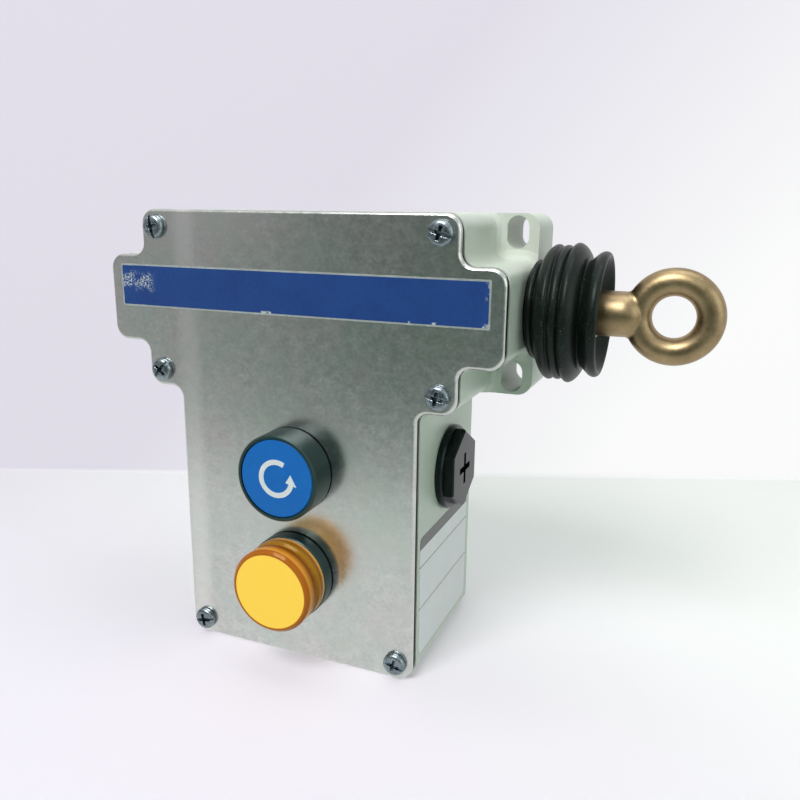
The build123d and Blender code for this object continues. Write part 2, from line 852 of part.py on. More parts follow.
with BuildPart() as rod_spring:
    return_length = seat_face - collar_end - return_wire
    return_radius = collar_flange_radius - return_wire / 2 - return_inset
    with BuildLine():
        coil = Helix(
            return_length / return_turns,
            return_length,
            return_radius,
            center=(collar_end + return_wire / 2, -rod_depth, 0),
            direction=(1, 0, 0),
        )
    with BuildSketch(Plane(origin=coil @ 0, z_dir=coil % 0)):
        RegularPolygon(return_wire / 2, wire_sides)
    sweep(is_frenet=True)

# Trip lever: two fork arms astride the rod, a hub, and one arm down to the contacts.
with BuildPart() as trip_lever:
    arm_length = pivot_drop + fork_overrun
    slot_gap = 2 * (cross_pin_radius + fork_clearance)
    for arm_start in (lever_back, rod_depth + fork_gap):
        with BuildSketch(front(arm_start)):
            with Locations((0, -pivot_drop)):
                Circle(hub_radius)
            with Locations((0, -pivot_drop + arm_length / 2)):
                RectangleRounded(fork_width, arm_length + fork_width / 2, fork_width / 3)
            with Locations((0, fork_overrun)):
                Rectangle(slot_gap, 4 * fork_overrun, mode=Mode.SUBTRACT)
        extrude(amount=fork_thickness)
    with BuildSketch(front(lever_back)):
        with Locations((0, -pivot_drop)):
            Circle(hub_radius)
    extrude(amount=2 * (fork_gap + fork_thickness))
    with BuildSketch(front(rod_depth - lower_arm_width / 2)):
        with Locations((0, -pivot_drop - nose_drop / 2)):
            Rectangle(lower_arm_thickness, nose_drop)
        with Locations((0, -pivot_drop - nose_drop)):
            Circle(nose_radius)
    extrude(amount=lower_arm_width)
    with BuildSketch(front(0)):
        with Locations((0, -pivot_drop)):
            Circle(pivot_radius + running_clearance)
    extrude(amount=housing_depth, mode=Mode.SUBTRACT)
lever_at_rest = trip_lever.part.rotate(pivot_axis, -lever_start)

# Pivot pin: pressed into its boss, with a groove for the clip.
with BuildPart() as pivot_pin:
    with BuildSketch(front(floor_thickness)):
        with Locations((0, -pivot_drop)):
            Circle(pivot_radius)
    extrude(amount=lever_front_face + pivot_tail - floor_thickness)
    chamfer(pivot_pin.edges().group_by(Axis.Y)[0], edge_break)
    with BuildSketch(front(lever_front_face + free_gap)):
        with Locations((0, -pivot_drop)):
            Circle(pivot_radius + clip_rim)
            Circle(pivot_radius - clip_groove_depth, mode=Mode.SUBTRACT)
    extrude(amount=clip_thickness, mode=Mode.SUBTRACT)

# Retaining ring in the pin's groove.
with BuildPart() as pivot_clip:
    with BuildSketch(front(lever_front_face + free_gap)):
        with Locations((0, -pivot_drop)):
            Circle(pivot_radius + clip_rim)
            Circle(pivot_radius - clip_groove_depth, mode=Mode.SUBTRACT)
        with Locations((0, -pivot_drop - pivot_radius - clip_rim / 2)):
            Rectangle(clip_mouth, 2 * clip_rim, mode=Mode.SUBTRACT)
    extrude(amount=clip_thickness)

# Contact block: moulded base with a channel for the slide and lugs for the reset lever.
with BuildPart() as contact_block:
    with BuildSketch(front(block_back)):
        with Locations((0, (block_top + block_bottom) / 2)):
            RectangleRounded(block_width, block_height, block_corner_radius)
    extrude(amount=block_depth)
    with BuildSketch(Plane.XY.offset(slide_bottom - slide_clearance)):
        with Locations((0, -rod_depth)):
            Rectangle(
                block_width - 2 * channel_end_wall, slide_depth + 2 * slide_clearance
            )
    extrude(amount=block_height / 2, mode=Mode.SUBTRACT)
    with BuildSketch(Plane.YZ):
        with Locations((-block_front - lug_length / 2, reset_lever_z)):
            Rectangle(lug_length, 2 * lever_hub_radius)
        with Locations((-reset_lever_depth, reset_lever_z)):
            Circle(lever_hub_radius)
    extrude(amount=lug_side, both=True)
    with BuildSketch(front(block_front)):
        with Locations((0, reset_lever_z)):
            Rectangle(2 * lug_x - lever_lug_thickness, 4 * lever_hub_radius)
    extrude(amount=2 * lug_length, mode=Mode.SUBTRACT)
    with BuildSketch(Plane.YZ):
        with Locations((-reset_lever_depth, reset_lever_z)):
            Circle(lever_pin_radius + press_clearance)
    extrude(amount=block_width, both=True, mode=Mode.SUBTRACT)
    with BuildSketch(front(block_back)):
        with Locations(*block_screw_places):
            Circle(m3_radius + screw_clearance)
    extrude(amount=block_depth, mode=Mode.SUBTRACT)
    with BuildSketch(front(block_front)):
        with Locations(*terminal_places):
            Circle(m3_radius + screw_clearance)
    extrude(amount=-terminal_hole_depth, mode=Mode.SUBTRACT)

# Contact slide: insulating bar that the lever's nose carries along.
with BuildPart() as contact_slide:
    with BuildSketch(Plane.XY.offset(slide_bottom)):
        with Locations((slide_start_x, -rod_depth)):
            Rectangle(slide_length, slide_depth)
    extrude(amount=slide_top - slide_bottom)
    with BuildSketch(Plane.XY.offset(slide_slot_bottom)):
        with Locations((slide_start_x, -rod_depth)):
            Rectangle(
                2 * (nose_radius + fork_clearance), lower_arm_width + 2 * fork_clearance
            )
    extrude(amount=slide_top - slide_slot_bottom, mode=Mode.SUBTRACT)

# Moving contacts lie across the slide, fixed contacts on the block beside them.
with BuildPart() as moving_contacts:
    with BuildSketch(Plane.XY.offset(slide_top)):
        with Locations(*[(slide_start_x + x, -rod_depth) for x in contact_xs]):
            Rectangle(contact_strip_width, slide_depth)
    extrude(amount=contact_strip_thickness)

with BuildPart() as fixed_contacts:
    ledge = (block_depth - slide_depth) / 2 - 2 * slide_clearance
    ledge_y = block_depth / 2 - ledge / 2
    with BuildSketch(Plane.XY.offset(block_top)):
        with Locations(
            *[(x, -rod_depth + side * ledge_y) for x in contact_xs for side in (-1, 1)]
        ):
            Rectangle(2 * contact_strip_width, ledge - contact_margin)
    extrude(amount=contact_strip_thickness)


def pan_screws(places, face, length):
    """M3 pan head screws on a face, at (x, z) places, with a cross recess."""
    with BuildPart() as screws:
        with BuildSketch(front(face)):
            with Locations(*places):
                Circle(m3_head_radius)
        extrude(amount=m3_head_height)
        chamfer(screws.edges().group_by(Axis.Y)[0], m3_head_height / 3)
        with BuildSketch(front(face)):
            with Locations(*places):
                Circle(m3_radius)
        extrude(amount=-length)
        with BuildSketch(front(face + m3_head_height)):
            with Locations(*places):
                Rectangle(m3_cross_width, m3_cross_length)
                Rectangle(m3_cross_length, m3_cross_width)
        extrude(amount=-m3_head_height / 2, mode=Mode.SUBTRACT)
    return screws.part


block_screws = pan_screws(block_screw_places, block_front, block_depth + post_screw_grip)
contact_terminals = pan_screws(terminal_places, block_front, terminal_screw_length)

# Reset lever: a plate on a hub, standing between the stem and the contact block.
with BuildPart() as reset_lever:
    with BuildSketch(Plane.YZ):
        with Locations((-reset_lever_depth, reset_lever_z)):
            Circle(lever_hub_radius)
        plate_height = reset_lever_top - reset_lever_z
        with Locations(
            (-reset_lever_front + reset_lever_thickness / 2, reset_lever_z + plate_height / 2)
        ):
            Rectangle(reset_lever_thickness, plate_height)
    extrude(amount=reset_lever_width / 2, both=True)
    with BuildSketch(Plane.YZ):
        with Locations((-reset_lever_depth, reset_lever_z)):
            Circle(lever_pin_radius + running_clearance)
    extrude(amount=reset_lever_width, both=True, mode=Mode.SUBTRACT)

# Pin and spring of the reset lever.
with BuildPart() as lever_pin:
    with BuildSketch(Plane.YZ):
        with Locations((-reset_lever_depth, reset_lever_z)):
            Circle(lever_pin_radius)
    extrude(amount=lug_side, both=True)

with BuildPart() as lever_spring:
    lever_spring_z = (reset_lever_z + reset_lever_top) / 2
    lever_spring_length = reset_lever_front - reset_lever_thickness - block_front - lever_wire
    with BuildLine():
        coil = Helix(
            lever_spring_length / lever_spring_turns,
            lever_spring_length,
            lever_spring_radius,
            center=(0, -block_front - lever_wire / 2, lever_spring_z),
            direction=(0, -1, 0),
        )
    with BuildSketch(Plane(origin=coil @ 0, z_dir=coil % 0)):
        RegularPolygon(lever_wire / 2, wire_sides)
    sweep(is_frenet=True)

# Terminal strip in the bottom of the leg, with its screws facing the front.
with BuildPart() as terminal_block:
    with BuildSketch(front(pad_face)):
        with Locations((0, strip_z)):
            RectangleRounded(strip_width, strip_height, strip_corner_radius)
    extrude(amount=strip_depth)
    with BuildSketch(front(strip_face)):
        with Locations(*[(x, strip_z) for x in strip_screw_xs]):
            Circle(m3_radius + screw_clearance)
    extrude(amount=-terminal_hole_depth, mode=Mode.SUBTRACT)
    with BuildSketch(Plane.XY.offset(strip_z - strip_height / 2)):
        with Locations(*[(x, -strip_face + strip_depth / 2) for x in strip_screw_xs]):
            Circle(wire_hole_radius)
    extrude(amount=wire_hole_depth, mode=Mode.SUBTRACT)
terminal_screws = pan_screws(
    [(x, strip_z) for x in strip_screw_xs], strip_face, terminal_screw_length
)

# Earth clamp: a square washer under a screw in its own boss.
with BuildPart() as earth_clamp:
    with BuildSketch(front(pad_face)):
        with Locations((earth_x, earth_z)):
            Rectangle(earth_clamp_size, earth_clamp_size)
            Circle(m4_radius + screw_clearance, mode=Mode.SUBTRACT)
    extrude(amount=earth_clamp_thickness)

with BuildPart() as earth_screw:
    clamp_face = pad_face + earth_clamp_thickness
    with BuildSketch(front(clamp_face)):
        with Locations((earth_x, earth_z)):
            Circle(m4_head_radius)
    extrude(amount=m4_head_height)
    chamfer(earth_screw.edges().group_by(Axis.Y)[0], m4_head_height / 3)
    with BuildSketch(front(clamp_face)):
        with Locations((earth_x, earth_z)):
            Circle(m4_radius)
    extrude(amount=-earth_screw_length)
    with BuildSketch(front(clamp_face + m4_head_height)):
        with Locations((earth_x, earth_z)):
            Rectangle(m4_cross_width, m4_cross_length)
            Rectangle(m4_cross_length, m4_cross_width)
    extrude(amount=-m4_head_height / 2, mode=Mode.SUBTRACT)

# Rubber boot: folds packed together over the rod, a waist, and a flared mouth whose
# gutter runs round the sleeve that grips the rod.
with BuildPart() as boot:
    collar_bore = bush_collar_radius + running_clearance
    rod_bore = rod_radius + press_clearance
    washer_bore = washer_radius + boot_socket_gap
    sleeve_start = boot_sleeve_reach - boot_wall
    sleeve_end = eye_foot_reach - washer_thickness
    gutter = boot_sleeve_reach + boot_wall
    hollow_radius = boot_folds[2][1] - boot_wall
    fold_points = []
    for (x, r, crest_x, crest_r), valley in zip(boot_folds, boot_folds[1:] + (boot_waist,)):
        flat = fold_flat * (valley[0] - x)
        shoulder = crest_r - fold_slope * flat
        fold_points += [(x, r), (crest_x - flat, shoulder), (crest_x, crest_r)]
        fold_points += [(crest_x + flat, shoulder)]
    with BuildSketch(
        Plane(origin=(band_half_width, -rod_depth, 0), x_dir=(1, 0, 0), z_dir=(0, -1, 0))
    ):
        with BuildLine():
            Polyline(
                (boot_gap, collar_bore),
                (boot_gap, boot_folds[0][1]),
                *fold_points,
                boot_waist,
                boot_throat,
                boot_lip,
                boot_mouth,
                (boot_mouth[0] - boot_rim_bevel, boot_mouth[1] - boot_wall),
                (boot_throat[0], boot_throat[1] - boot_wall),
                (gutter, boot_throat[1] - 2 * boot_wall),
                (gutter, washer_bore + boot_wall),
                (sleeve_end + boot_socket_lip, washer_bore),
                (sleeve_end, washer_bore),
                (sleeve_end, rod_bore),
                (boot_sleeve_reach, rod_bore),
                (boot_sleeve_reach, boot_sleeve_wall + boot_wall / 2),
                (sleeve_start, hollow_radius),
                (boot_folds[1][2], hollow_radius),
                (bush_collar_length + free_gap, collar_bore),
                close=True,
            )
        make_face()
    revolve(axis=rod_axis)

# Washer between the boot and the eye.
with BuildPart() as eye_washer:
    with BuildSketch(Plane.YZ.offset(eye_foot - washer_thickness)):
        with Locations((-rod_depth, 0)):
            Circle(washer_radius)
            Circle(rod_radius + screw_clearance, mode=Mode.SUBTRACT)
    extrude(amount=washer_thickness)

# Eye bolt: a forged ring on a round shank with a domed end, tapped for the rod.
with BuildPart() as eye_bolt:
    with BuildSketch(rod_plane):
        with BuildLine():
            eye_shank_end = band_half_width + eye_shank_reach
            dome_tip = (eye_shank_end + eye_shank_radius, 0)
            Line((eye_foot, 0), (eye_foot, eye_shank_radius))
            Line((eye_foot, eye_shank_radius), (eye_shank_end, eye_shank_radius))
            RadiusArc((eye_shank_end, eye_shank_radius), dome_tip, eye_shank_radius)
            Line(dome_tip, (eye_foot, 0))
        make_face()
    revolve(axis=rod_axis)
    with Locations(Location((band_half_width + eye_ring_reach, -rod_depth, 0), (90, 0, 0))):
        Torus(eye_ring_radius, eye_wire_radius)
    fillet(eye_bolt.edges().filter_by(GeomType.BSPLINE), eye_blend)
    with BuildSketch(Plane.YZ.offset(eye_foot)):
        with Locations((-rod_depth, 0)):
            Circle(rod_radius + screw_clearance)
    extrude(amount=eye_thread_length + eye_thread_runout, mode=Mode.SUBTRACT)

pieces = {
    "housing": housing.part,
    "cover": cover.part,
    "cover_gasket": cover_gasket.part,
    "cover_screws": cover_screws.part,
    "entry_plugs": entry_plugs.part,
    "plug_seals": plug_seals.part,
    "reset_bezel": reset_bezel.part,
    "reset_cap": reset_cap.part,
    "reset_stem": reset_stem.part,
    "reset_spring": reset_spring.part,
    "reset_seal": reset_seal,
    "reset_nut": reset_nut,
    "lamp_base": lamp_base.part,
    "lamp_lens": lamp_lens.part,
    "lamp_holder": lamp_holder.part,
    "lamp_bulb": lamp_bulb.part,
    "lamp_seal": lamp_seal,
    "lamp_nut": lamp_nut,
    "rod_bush": rod_bush.part,
    "bush_nut": bush_nut.part,
    "guide_bush": guide_bush.part,
    "pull_rod": pull_rod.part,
    "cam_collar": cam_collar.part,
    "cross_pin": cross_pin.part,
    "spring_seat": spring_seat.part,
    "rod_spring": rod_spring.part,
    "trip_lever": lever_at_rest,
    "pivot_pin": pivot_pin.part,
    "pivot_clip": pivot_clip.part,
    "contact_block": contact_block.part,
    "contact_slide": contact_slide.part,
    "moving_contacts": moving_contacts.part,
    "fixed_contacts": fixed_contacts.part,
    "contact_terminals": contact_terminals,
    "block_screws": block_screws,
    "reset_lever": reset_lever.part,
    "lever_pin": lever_pin.part,
    "lever_spring": lever_spring.part,
    "terminal_block": terminal_block.part,
    "terminal_screws": terminal_screws,
    "earth_clamp": earth_clamp.part,
    "earth_screw": earth_screw.part,
    "boot": boot.part,
    "eye_washer": eye_washer.part,
    "eye_bolt": eye_bolt.part,
}

os.makedirs("parts", exist_ok=True)
for name, piece in pieces.items():
    piece.label = name
    export_step(piece, f"parts/{name}.step")
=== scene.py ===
"""Rope pull switch, finished over its CAD frame.

Metres. X runs along the rod to the rope, Y runs into the wall, Z is up.
The floor is level with the bottom of the leg, where the switch stands for its picture.
"""

import math

import bmesh
import bpy
from mathutils import Matrix, Vector


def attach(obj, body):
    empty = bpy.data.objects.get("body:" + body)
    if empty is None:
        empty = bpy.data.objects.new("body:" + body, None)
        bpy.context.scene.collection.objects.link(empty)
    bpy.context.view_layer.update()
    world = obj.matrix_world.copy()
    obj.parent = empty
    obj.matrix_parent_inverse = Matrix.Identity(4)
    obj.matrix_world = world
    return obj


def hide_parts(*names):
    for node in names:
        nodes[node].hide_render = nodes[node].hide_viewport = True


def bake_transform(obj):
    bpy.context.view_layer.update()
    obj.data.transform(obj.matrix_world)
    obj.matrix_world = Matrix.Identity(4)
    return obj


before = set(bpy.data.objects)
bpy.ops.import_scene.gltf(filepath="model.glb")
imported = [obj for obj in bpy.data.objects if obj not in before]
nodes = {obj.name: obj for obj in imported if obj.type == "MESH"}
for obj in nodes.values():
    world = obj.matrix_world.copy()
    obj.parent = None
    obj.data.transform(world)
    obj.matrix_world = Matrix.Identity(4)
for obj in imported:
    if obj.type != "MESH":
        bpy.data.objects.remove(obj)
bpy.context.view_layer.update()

bpy.context.scene.view_settings.view_transform = "Standard"


# The camera. It stands a little right of the switch and looks down on it by about 14
# degrees, close enough for the leg's right wall and the ears to show.
camera_data = bpy.data.cameras.new("camera")
camera_data.sensor_width = 36.0
camera_data.lens = 34.855
camera_data.clip_start = 0.01
camera = bpy.data.objects.new("camera", camera_data)
bpy.context.collection.objects.link(camera)
yaw, pitch, roll = math.radians(22.28), math.radians(13.79), math.radians(0.67)
look = Vector((-math.sin(yaw) * math.cos(pitch), math.cos(yaw) * math.cos(pitch), -math.sin(pitch)))
level_right = Vector((math.cos(yaw), math.sin(yaw), 0.0))
level_up = level_right.cross(look)
right = math.cos(roll) * level_right + math.sin(roll) * level_up
up = math.cos(roll) * level_up - math.sin(roll) * level_right
turn = Matrix((right, up, -look)).transposed()
camera_place = (0.12504, -0.27181, 0.03027)
camera.matrix_world = Matrix.Translation(camera_place) @ turn.to_4x4()
bpy.context.scene.camera = camera


# The table and the wall behind it: one sheet of paper, rolled up at the back and tinted
# from pale lilac on the left to white on the right. Its back is clear, so that it doesn't
# hide the switch from behind.
def link_mesh(name, verts, faces, smooth=False):
    """A mesh object at the origin, linked to the scene."""
    mesh = bpy.data.meshes.new(name)
    mesh.from_pydata(verts, [], faces)
    mesh.update()
    if smooth:
        mesh.shade_smooth()
    made = bpy.data.objects.new(name, mesh)
    bpy.context.collection.objects.link(made)
    return made


def new_material(name):
    """A material with its node tree emptied; returned with its nodes and links."""
    made = bpy.data.materials.new(name)
    made.use_nodes = True
    tree = made.node_tree
    tree.nodes.clear()
    return made, tree.nodes, tree.links


def ramp(n, l, source, low, high, stops):
    """A colour ramp over a value's range, with stops of (place, colour)."""
    spread = n.new("ShaderNodeMapRange")
    spread.inputs["From Min"].default_value = low
    spread.inputs["From Max"].default_value = high
    l.new(source, spread.inputs["Value"])
    colours = n.new("ShaderNodeValToRGB")
    points = colours.color_ramp.elements
    while len(points) < len(stops):
        points.new(0.5)
    for point, (place, colour) in zip(points, stops):
        point.position = place
        point.color = (*colour, 1)
    l.new(spread.outputs[0], colours.inputs[0])
    return colours.outputs[0]


def sum_of(n, l, kind, *sources):
    """A Math node on sockets or plain numbers."""
    made = n.new("ShaderNodeMath")
    made.operation = kind
    for i, source in enumerate(sources):
        if isinstance(source, (int, float)):
            made.inputs[i].default_value = source
        else:
            l.new(source, made.inputs[i])
    return made.outputs[0]


def mix_colours(n, l, share, under, over):
    """A colour mix: the share, as a socket or a number, of one colour over another."""
    made = n.new("ShaderNodeMix")
    made.data_type = "RGBA"
    for i, source in ((0, share), (6, under), (7, over)):
        if isinstance(source, (int, float)):
            made.inputs[i].default_value = source
        elif isinstance(source, tuple):
            made.inputs[i].default_value = (*source, 1)
        else:
            l.new(source, made.inputs[i])
    return made.outputs[2]


BLACK, WHITE = (0.0, 0.0, 0.0), (1.0, 1.0, 1.0)
floor_z = -0.12175
paper_reach, paper_turn, paper_height, paper_half_width = 0.432, 0.002, 2.5, 3.0
turn_steps = 8
pale_lilac, lilac_floor = (0.77, 0.74, 0.83), (0.86, 0.82, 0.90)
thrown_back, left_room = (0.46, 0.545, 0.50), (0.88, 0.86, 0.88)
floor_plainness, wall_gain = 0.30, 0.55
back_way = Vector((-math.sin(yaw), math.cos(yaw), 0.0))
paper_foot = Vector((camera.location.x, camera.location.y, floor_z)) + back_way * paper_reach
profile = [(-paper_half_width, 0.0)]
for step in range(turn_steps + 1):
    angle = math.radians(90 * step / turn_steps)
    profile.append((paper_turn * math.sin(angle), paper_turn * (1 - math.cos(angle))))
profile.append((paper_turn, paper_height))
verts, faces = [], []
for along, height in profile:
    for side in (-paper_half_width, paper_half_width):
        p = paper_foot + back_way * along + level_right * side
        verts.append((p.x, p.y, floor_z + height))
for i in range(len(profile) - 1):
    faces.append((2 * i, 2 * i + 1, 2 * i + 3, 2 * i + 2))
paper = link_mesh("paper", verts, faces, smooth=True)
paper_mat, n, l = new_material("pale_paper")
geometry = n.new("ShaderNodeNewGeometry")
split = n.new("ShaderNodeSeparateXYZ")
l.new(geometry.outputs["Position"], split.inputs[0])
down_right = sum_of(n, l, "SUBTRACT", split.outputs["X"],
                    sum_of(n, l, "MULTIPLY", split.outputs["Z"], 0.8))
standing = ramp(n, l, down_right, -0.10, 0.16, ((0.0, pale_lilac), (1.0, WHITE)))
back_right = sum_of(n, l, "ADD", split.outputs["Y"],
                    sum_of(n, l, "MULTIPLY", split.outputs["X"], 0.5))
lying = ramp(n, l, back_right, -0.10, 0.12, ((0.0, lilac_floor), (1.0, WHITE)))
upright = ramp(n, l, split.outputs["Z"], floor_z, floor_z + paper_turn,
               ((0.0, BLACK), (1.0, WHITE)))
tint = mix_colours(n, l, upright, lying, standing)
# The far side of the table, behind the camera, is darker and shows only in the metal.
ahead = ramp(n, l, split.outputs["Y"], -1.5, -0.06, (
    (0.0, (0.13, 0.16, 0.145)), (0.62, (0.17, 0.21, 0.19)), (0.78, (0.24, 0.29, 0.265)),
    (0.86, (0.46, 0.50, 0.48)), (0.92, (0.86, 0.89, 0.88)), (1.0, (0.96, 0.95, 0.96))))
sideways = sum_of(n, l, "DIVIDE", split.outputs["X"], split.outputs["Y"])
left_share = ramp(n, l, sideways, 0.30, 0.90, (
    (0.0, BLACK), (0.6, (0.26, 0.26, 0.26)), (1.0, (0.42, 0.42, 0.42))))
paler = mix_colours(n, l, left_share, ahead, left_room)
rays = n.new("ShaderNodeLightPath")
# What the paper throws back onto the switch is dimmer and a little green.
thrown = mix_colours(n, l, rays.outputs["Is Diffuse Ray"], tint, thrown_back)
lit = n.new("ShaderNodeBsdfDiffuse")
l.new(thrown, lit.inputs["Color"])
glossy = rays.outputs["Is Glossy Ray"]
plain = n.new("ShaderNodeEmission")
l.new(mix_colours(n, l, glossy, tint, paler), plain.inputs["Color"])
looked_at = sum_of(n, l, "MAXIMUM", rays.outputs["Is Camera Ray"],
                   rays.outputs["Is Transmission Ray"])
plainness = sum_of(n, l, "MULTIPLY_ADD", upright, wall_gain, floor_plainness)
share = sum_of(n, l, "MAXIMUM", sum_of(n, l, "MULTIPLY", looked_at, plainness), glossy)
mixed = n.new("ShaderNodeMixShader")
l.new(share, mixed.inputs[0])
l.new(lit.outputs[0], mixed.inputs[1])
l.new(plain.outputs[0], mixed.inputs[2])
clear = n.new("ShaderNodeBsdfTransparent")
from_behind = n.new("ShaderNodeMixShader")
l.new(geometry.outputs["Backfacing"], from_behind.inputs[0])
l.new(mixed.outputs[0], from_behind.inputs[1])
l.new(clear.outputs[0], from_behind.inputs[2])
surface_out = n.new("ShaderNodeOutputMaterial")
l.new(from_behind.outputs[0], surface_out.inputs["Surface"])
paper.data.materials.append(paper_mat)


# The room round the table: even light, with a dim side ahead that the metal reflects.
# The camera sees a plain pale grey there instead, which shows in the views from behind.
room_light, room_ceiling, room_seen = (0.19, 0.215, 0.20), (0.88, 0.90, 0.90), (0.85, 0.85, 0.87)
world = bpy.data.worlds.new("room")
bpy.context.scene.world = world
world.use_nodes = True
n, l = world.node_tree.nodes, world.node_tree.links
room = n["Background"]
way = n.new("ShaderNodeTexCoord")
split = n.new("ShaderNodeSeparateXYZ")
l.new(way.outputs["Generated"], split.inputs[0])
across = ramp(n, l, split.outputs["X"], -1.0, 1.0, (
    (0.0, (0.40, 0.38, 0.40)), (0.165, (0.30, 0.28, 0.29)), (0.20, (0.72, 0.73, 0.74)),
    (0.24, (0.30, 0.30, 0.30)), (0.30, (0.19, 0.20, 0.19)), (0.38, (0.13, 0.17, 0.15)),
    (0.58, (0.10, 0.145, 0.125)), (0.75, (0.70, 0.76, 0.74)), (1.0, (0.9, 0.9, 0.9))))
overhead = ramp(n, l, split.outputs["Z"], 0.25, 0.75, ((0.0, BLACK), (1.0, WHITE)))
reflected = mix_colours(n, l, overhead, across, room_ceiling)
rays = n.new("ShaderNodeLightPath")
chosen = mix_colours(n, l, rays.outputs["Is Glossy Ray"], room_light, reflected)
backdrop = mix_colours(n, l, rays.outputs["Is Camera Ray"], chosen, room_seen)
l.new(backdrop, room.inputs["Color"])
room.inputs["Strength"].default_value = 1.0


# Three soft lights: a window on the left, a fill on the right and one overhead. Each is a
# broad rectangle, so that the shadows and the gloss have soft edges.
def soft_light(name, place, aim, width, height, power, colour):
    """A rectangular area lamp of so many watts, turned to face a point."""
    data = bpy.data.lights.new(name, "AREA")
    data.shape = "RECTANGLE"
    data.size, data.size_y = width, height
    data.energy = power
    data.color = colour
    lamp = bpy.data.objects.new(name, data)
    bpy.context.collection.objects.link(lamp)
    lamp.location = place
    lamp.rotation_mode = "QUATERNION"
    lamp.rotation_quaternion = (Vector(aim) - Vector(place)).to_track_quat("-Z", "Y")


soft_light("window", (-0.14, -0.82, 0.88), (0, -0.03, -0.03), 0.55, 0.55, 11.5, (1.0, 0.98, 0.98))
soft_light("right_fill", (0.9, -0.25, 0.24), (0, -0.03, -0.07), 0.6, 0.6, 1.3, (0.93, 1.0, 0.96))
soft_light("overhead", (0.1, 0.1, 0.9), (0.02, -0.03, -0.05), 0.8, 0.5, 3.0, (1.0, 0.99, 1.0))


# Housing: one zinc casting, stoved with pale grey-green paint that lies in a faint orange
# peel. It stands behind everything else, and its ears carry the four mounting slots.
def grain_tree():
    """Two noise fields, fine and broad, over the piece's own coordinates in metres."""
    tree = bpy.data.node_groups.new("grain", "ShaderNodeTree")
    for label, value in (("Fine Size", 0.001), ("Broad Size", 0.01), ("Stretch", 1.0)):
        made = tree.interface.new_socket(name=label, in_out="INPUT", socket_type="NodeSocketFloat")
        made.default_value = value
    for label in ("Fine", "Broad", "Relief"):
        tree.interface.new_socket(name=label, in_out="OUTPUT", socket_type="NodeSocketFloat")
    n, l = tree.nodes, tree.links
    sizes = n.new("NodeGroupInput")
    place = n.new("ShaderNodeTexCoord")
    squeeze = n.new("ShaderNodeCombineXYZ")
    l.new(sum_of(n, l, "DIVIDE", 1.0, sizes.outputs["Stretch"]), squeeze.inputs[0])
    squeeze.inputs[1].default_value = 1.0
    squeeze.inputs[2].default_value = 1.0
    laid = n.new("ShaderNodeVectorMath")
    laid.operation = "MULTIPLY"
    l.new(place.outputs["Object"], laid.inputs[0])
    l.new(squeeze.outputs[0], laid.inputs[1])
    result = n.new("NodeGroupOutput")
    for label, detail in (("Fine", 3.0), ("Broad", 2.0)):
        noise = n.new("ShaderNodeTexNoise")
        noise.inputs["Detail"].default_value = detail
        l.new(laid.outputs[0], noise.inputs["Vector"])
        l.new(sum_of(n, l, "DIVIDE", 1.0, sizes.outputs[label + " Size"]), noise.inputs["Scale"])
        level = n.new("ShaderNodeMapRange")
        level.inputs["From Min"].default_value = 0.3
        level.inputs["From Max"].default_value = 0.7
        l.new(noise.outputs[0], level.inputs["Value"])
        l.new(level.outputs[0], result.inputs[label])
        if label == "Fine":
            l.new(noise.outputs[0], result.inputs["Relief"])
    return tree


grain = grain_tree()


def finish(name, dark, light, rough, metallic=0.0, fine=0.0008, broad=0.012, broad_share=0.5,
           stretch=1.0, relief=0.1, depth=0.0001):
    """A material whose colour, roughness and bump follow the grain; with nodes and shader."""
    made, n, l = new_material(name)
    field = n.new("ShaderNodeGroup")
    field.node_tree = grain
    field.inputs["Fine Size"].default_value = fine
    field.inputs["Broad Size"].default_value = broad
    field.inputs["Stretch"].default_value = stretch
    both = n.new("ShaderNodeMix")
    both.inputs[0].default_value = broad_share
    l.new(field.outputs["Fine"], both.inputs[2])
    l.new(field.outputs["Broad"], both.inputs[3])
    shader = n.new("ShaderNodeBsdfPrincipled")
    shader.inputs["Metallic"].default_value = metallic
    l.new(mix_colours(n, l, both.outputs[0], dark, light), shader.inputs["Base Color"])
    gloss = n.new("ShaderNodeMapRange")
    gloss.inputs["To Min"].default_value, gloss.inputs["To Max"].default_value = rough
    l.new(both.outputs[0], gloss.inputs["Value"])
    l.new(gloss.outputs[0], shader.inputs["Roughness"])
    bump = n.new("ShaderNodeBump")
    bump.inputs["Strength"].default_value = relief
    bump.inputs["Distance"].default_value = depth
    l.new(field.outputs["Relief"], bump.inputs["Height"])
    l.new(bump.outputs[0], shader.inputs["Normal"])
    out = n.new("ShaderNodeOutputMaterial")
    l.new(shader.outputs[0], out.inputs["Surface"])
    return made, n, l, shader


def lay_over(n, l, shader, mask, colour):
    """Lays a colour over what feeds Base Color, as far as the mask says."""
    under = shader.inputs["Base Color"].links[0].from_socket
    l.new(mix_colours(n, l, mask, under, colour), shader.inputs["Base Color"])


def coordinates(n, l, centre=(0, 0, 0)):
    """The piece's own coordinates, counted from a centre: X, Y and Z sockets."""
    place = n.new("ShaderNodeTexCoord")
    moved = n.new("ShaderNodeVectorMath")
    moved.operation = "SUBTRACT"
    l.new(place.outputs["Object"], moved.inputs[0])
    moved.inputs[1].default_value = centre
    parts = n.new("ShaderNodeSeparateXYZ")
    l.new(moved.outputs[0], parts.inputs[0])
    return parts.outputs


def step_up(n, l, source, low, high):
    """A mask that rises from 0 at low to 1 at high, or falls where low is the greater."""
    made = n.new("ShaderNodeMapRange")
    made.interpolation_type = "SMOOTHSTEP"
    made.inputs["From Min"].default_value = low
    made.inputs["From Max"].default_value = high
    l.new(source, made.inputs["Value"])
    return made.outputs[0]


def dress(material, *names):
    """Gives CAD nodes their finished material."""
    for name in names:
        for slot in nodes[name].material_slots:
            slot.material = material


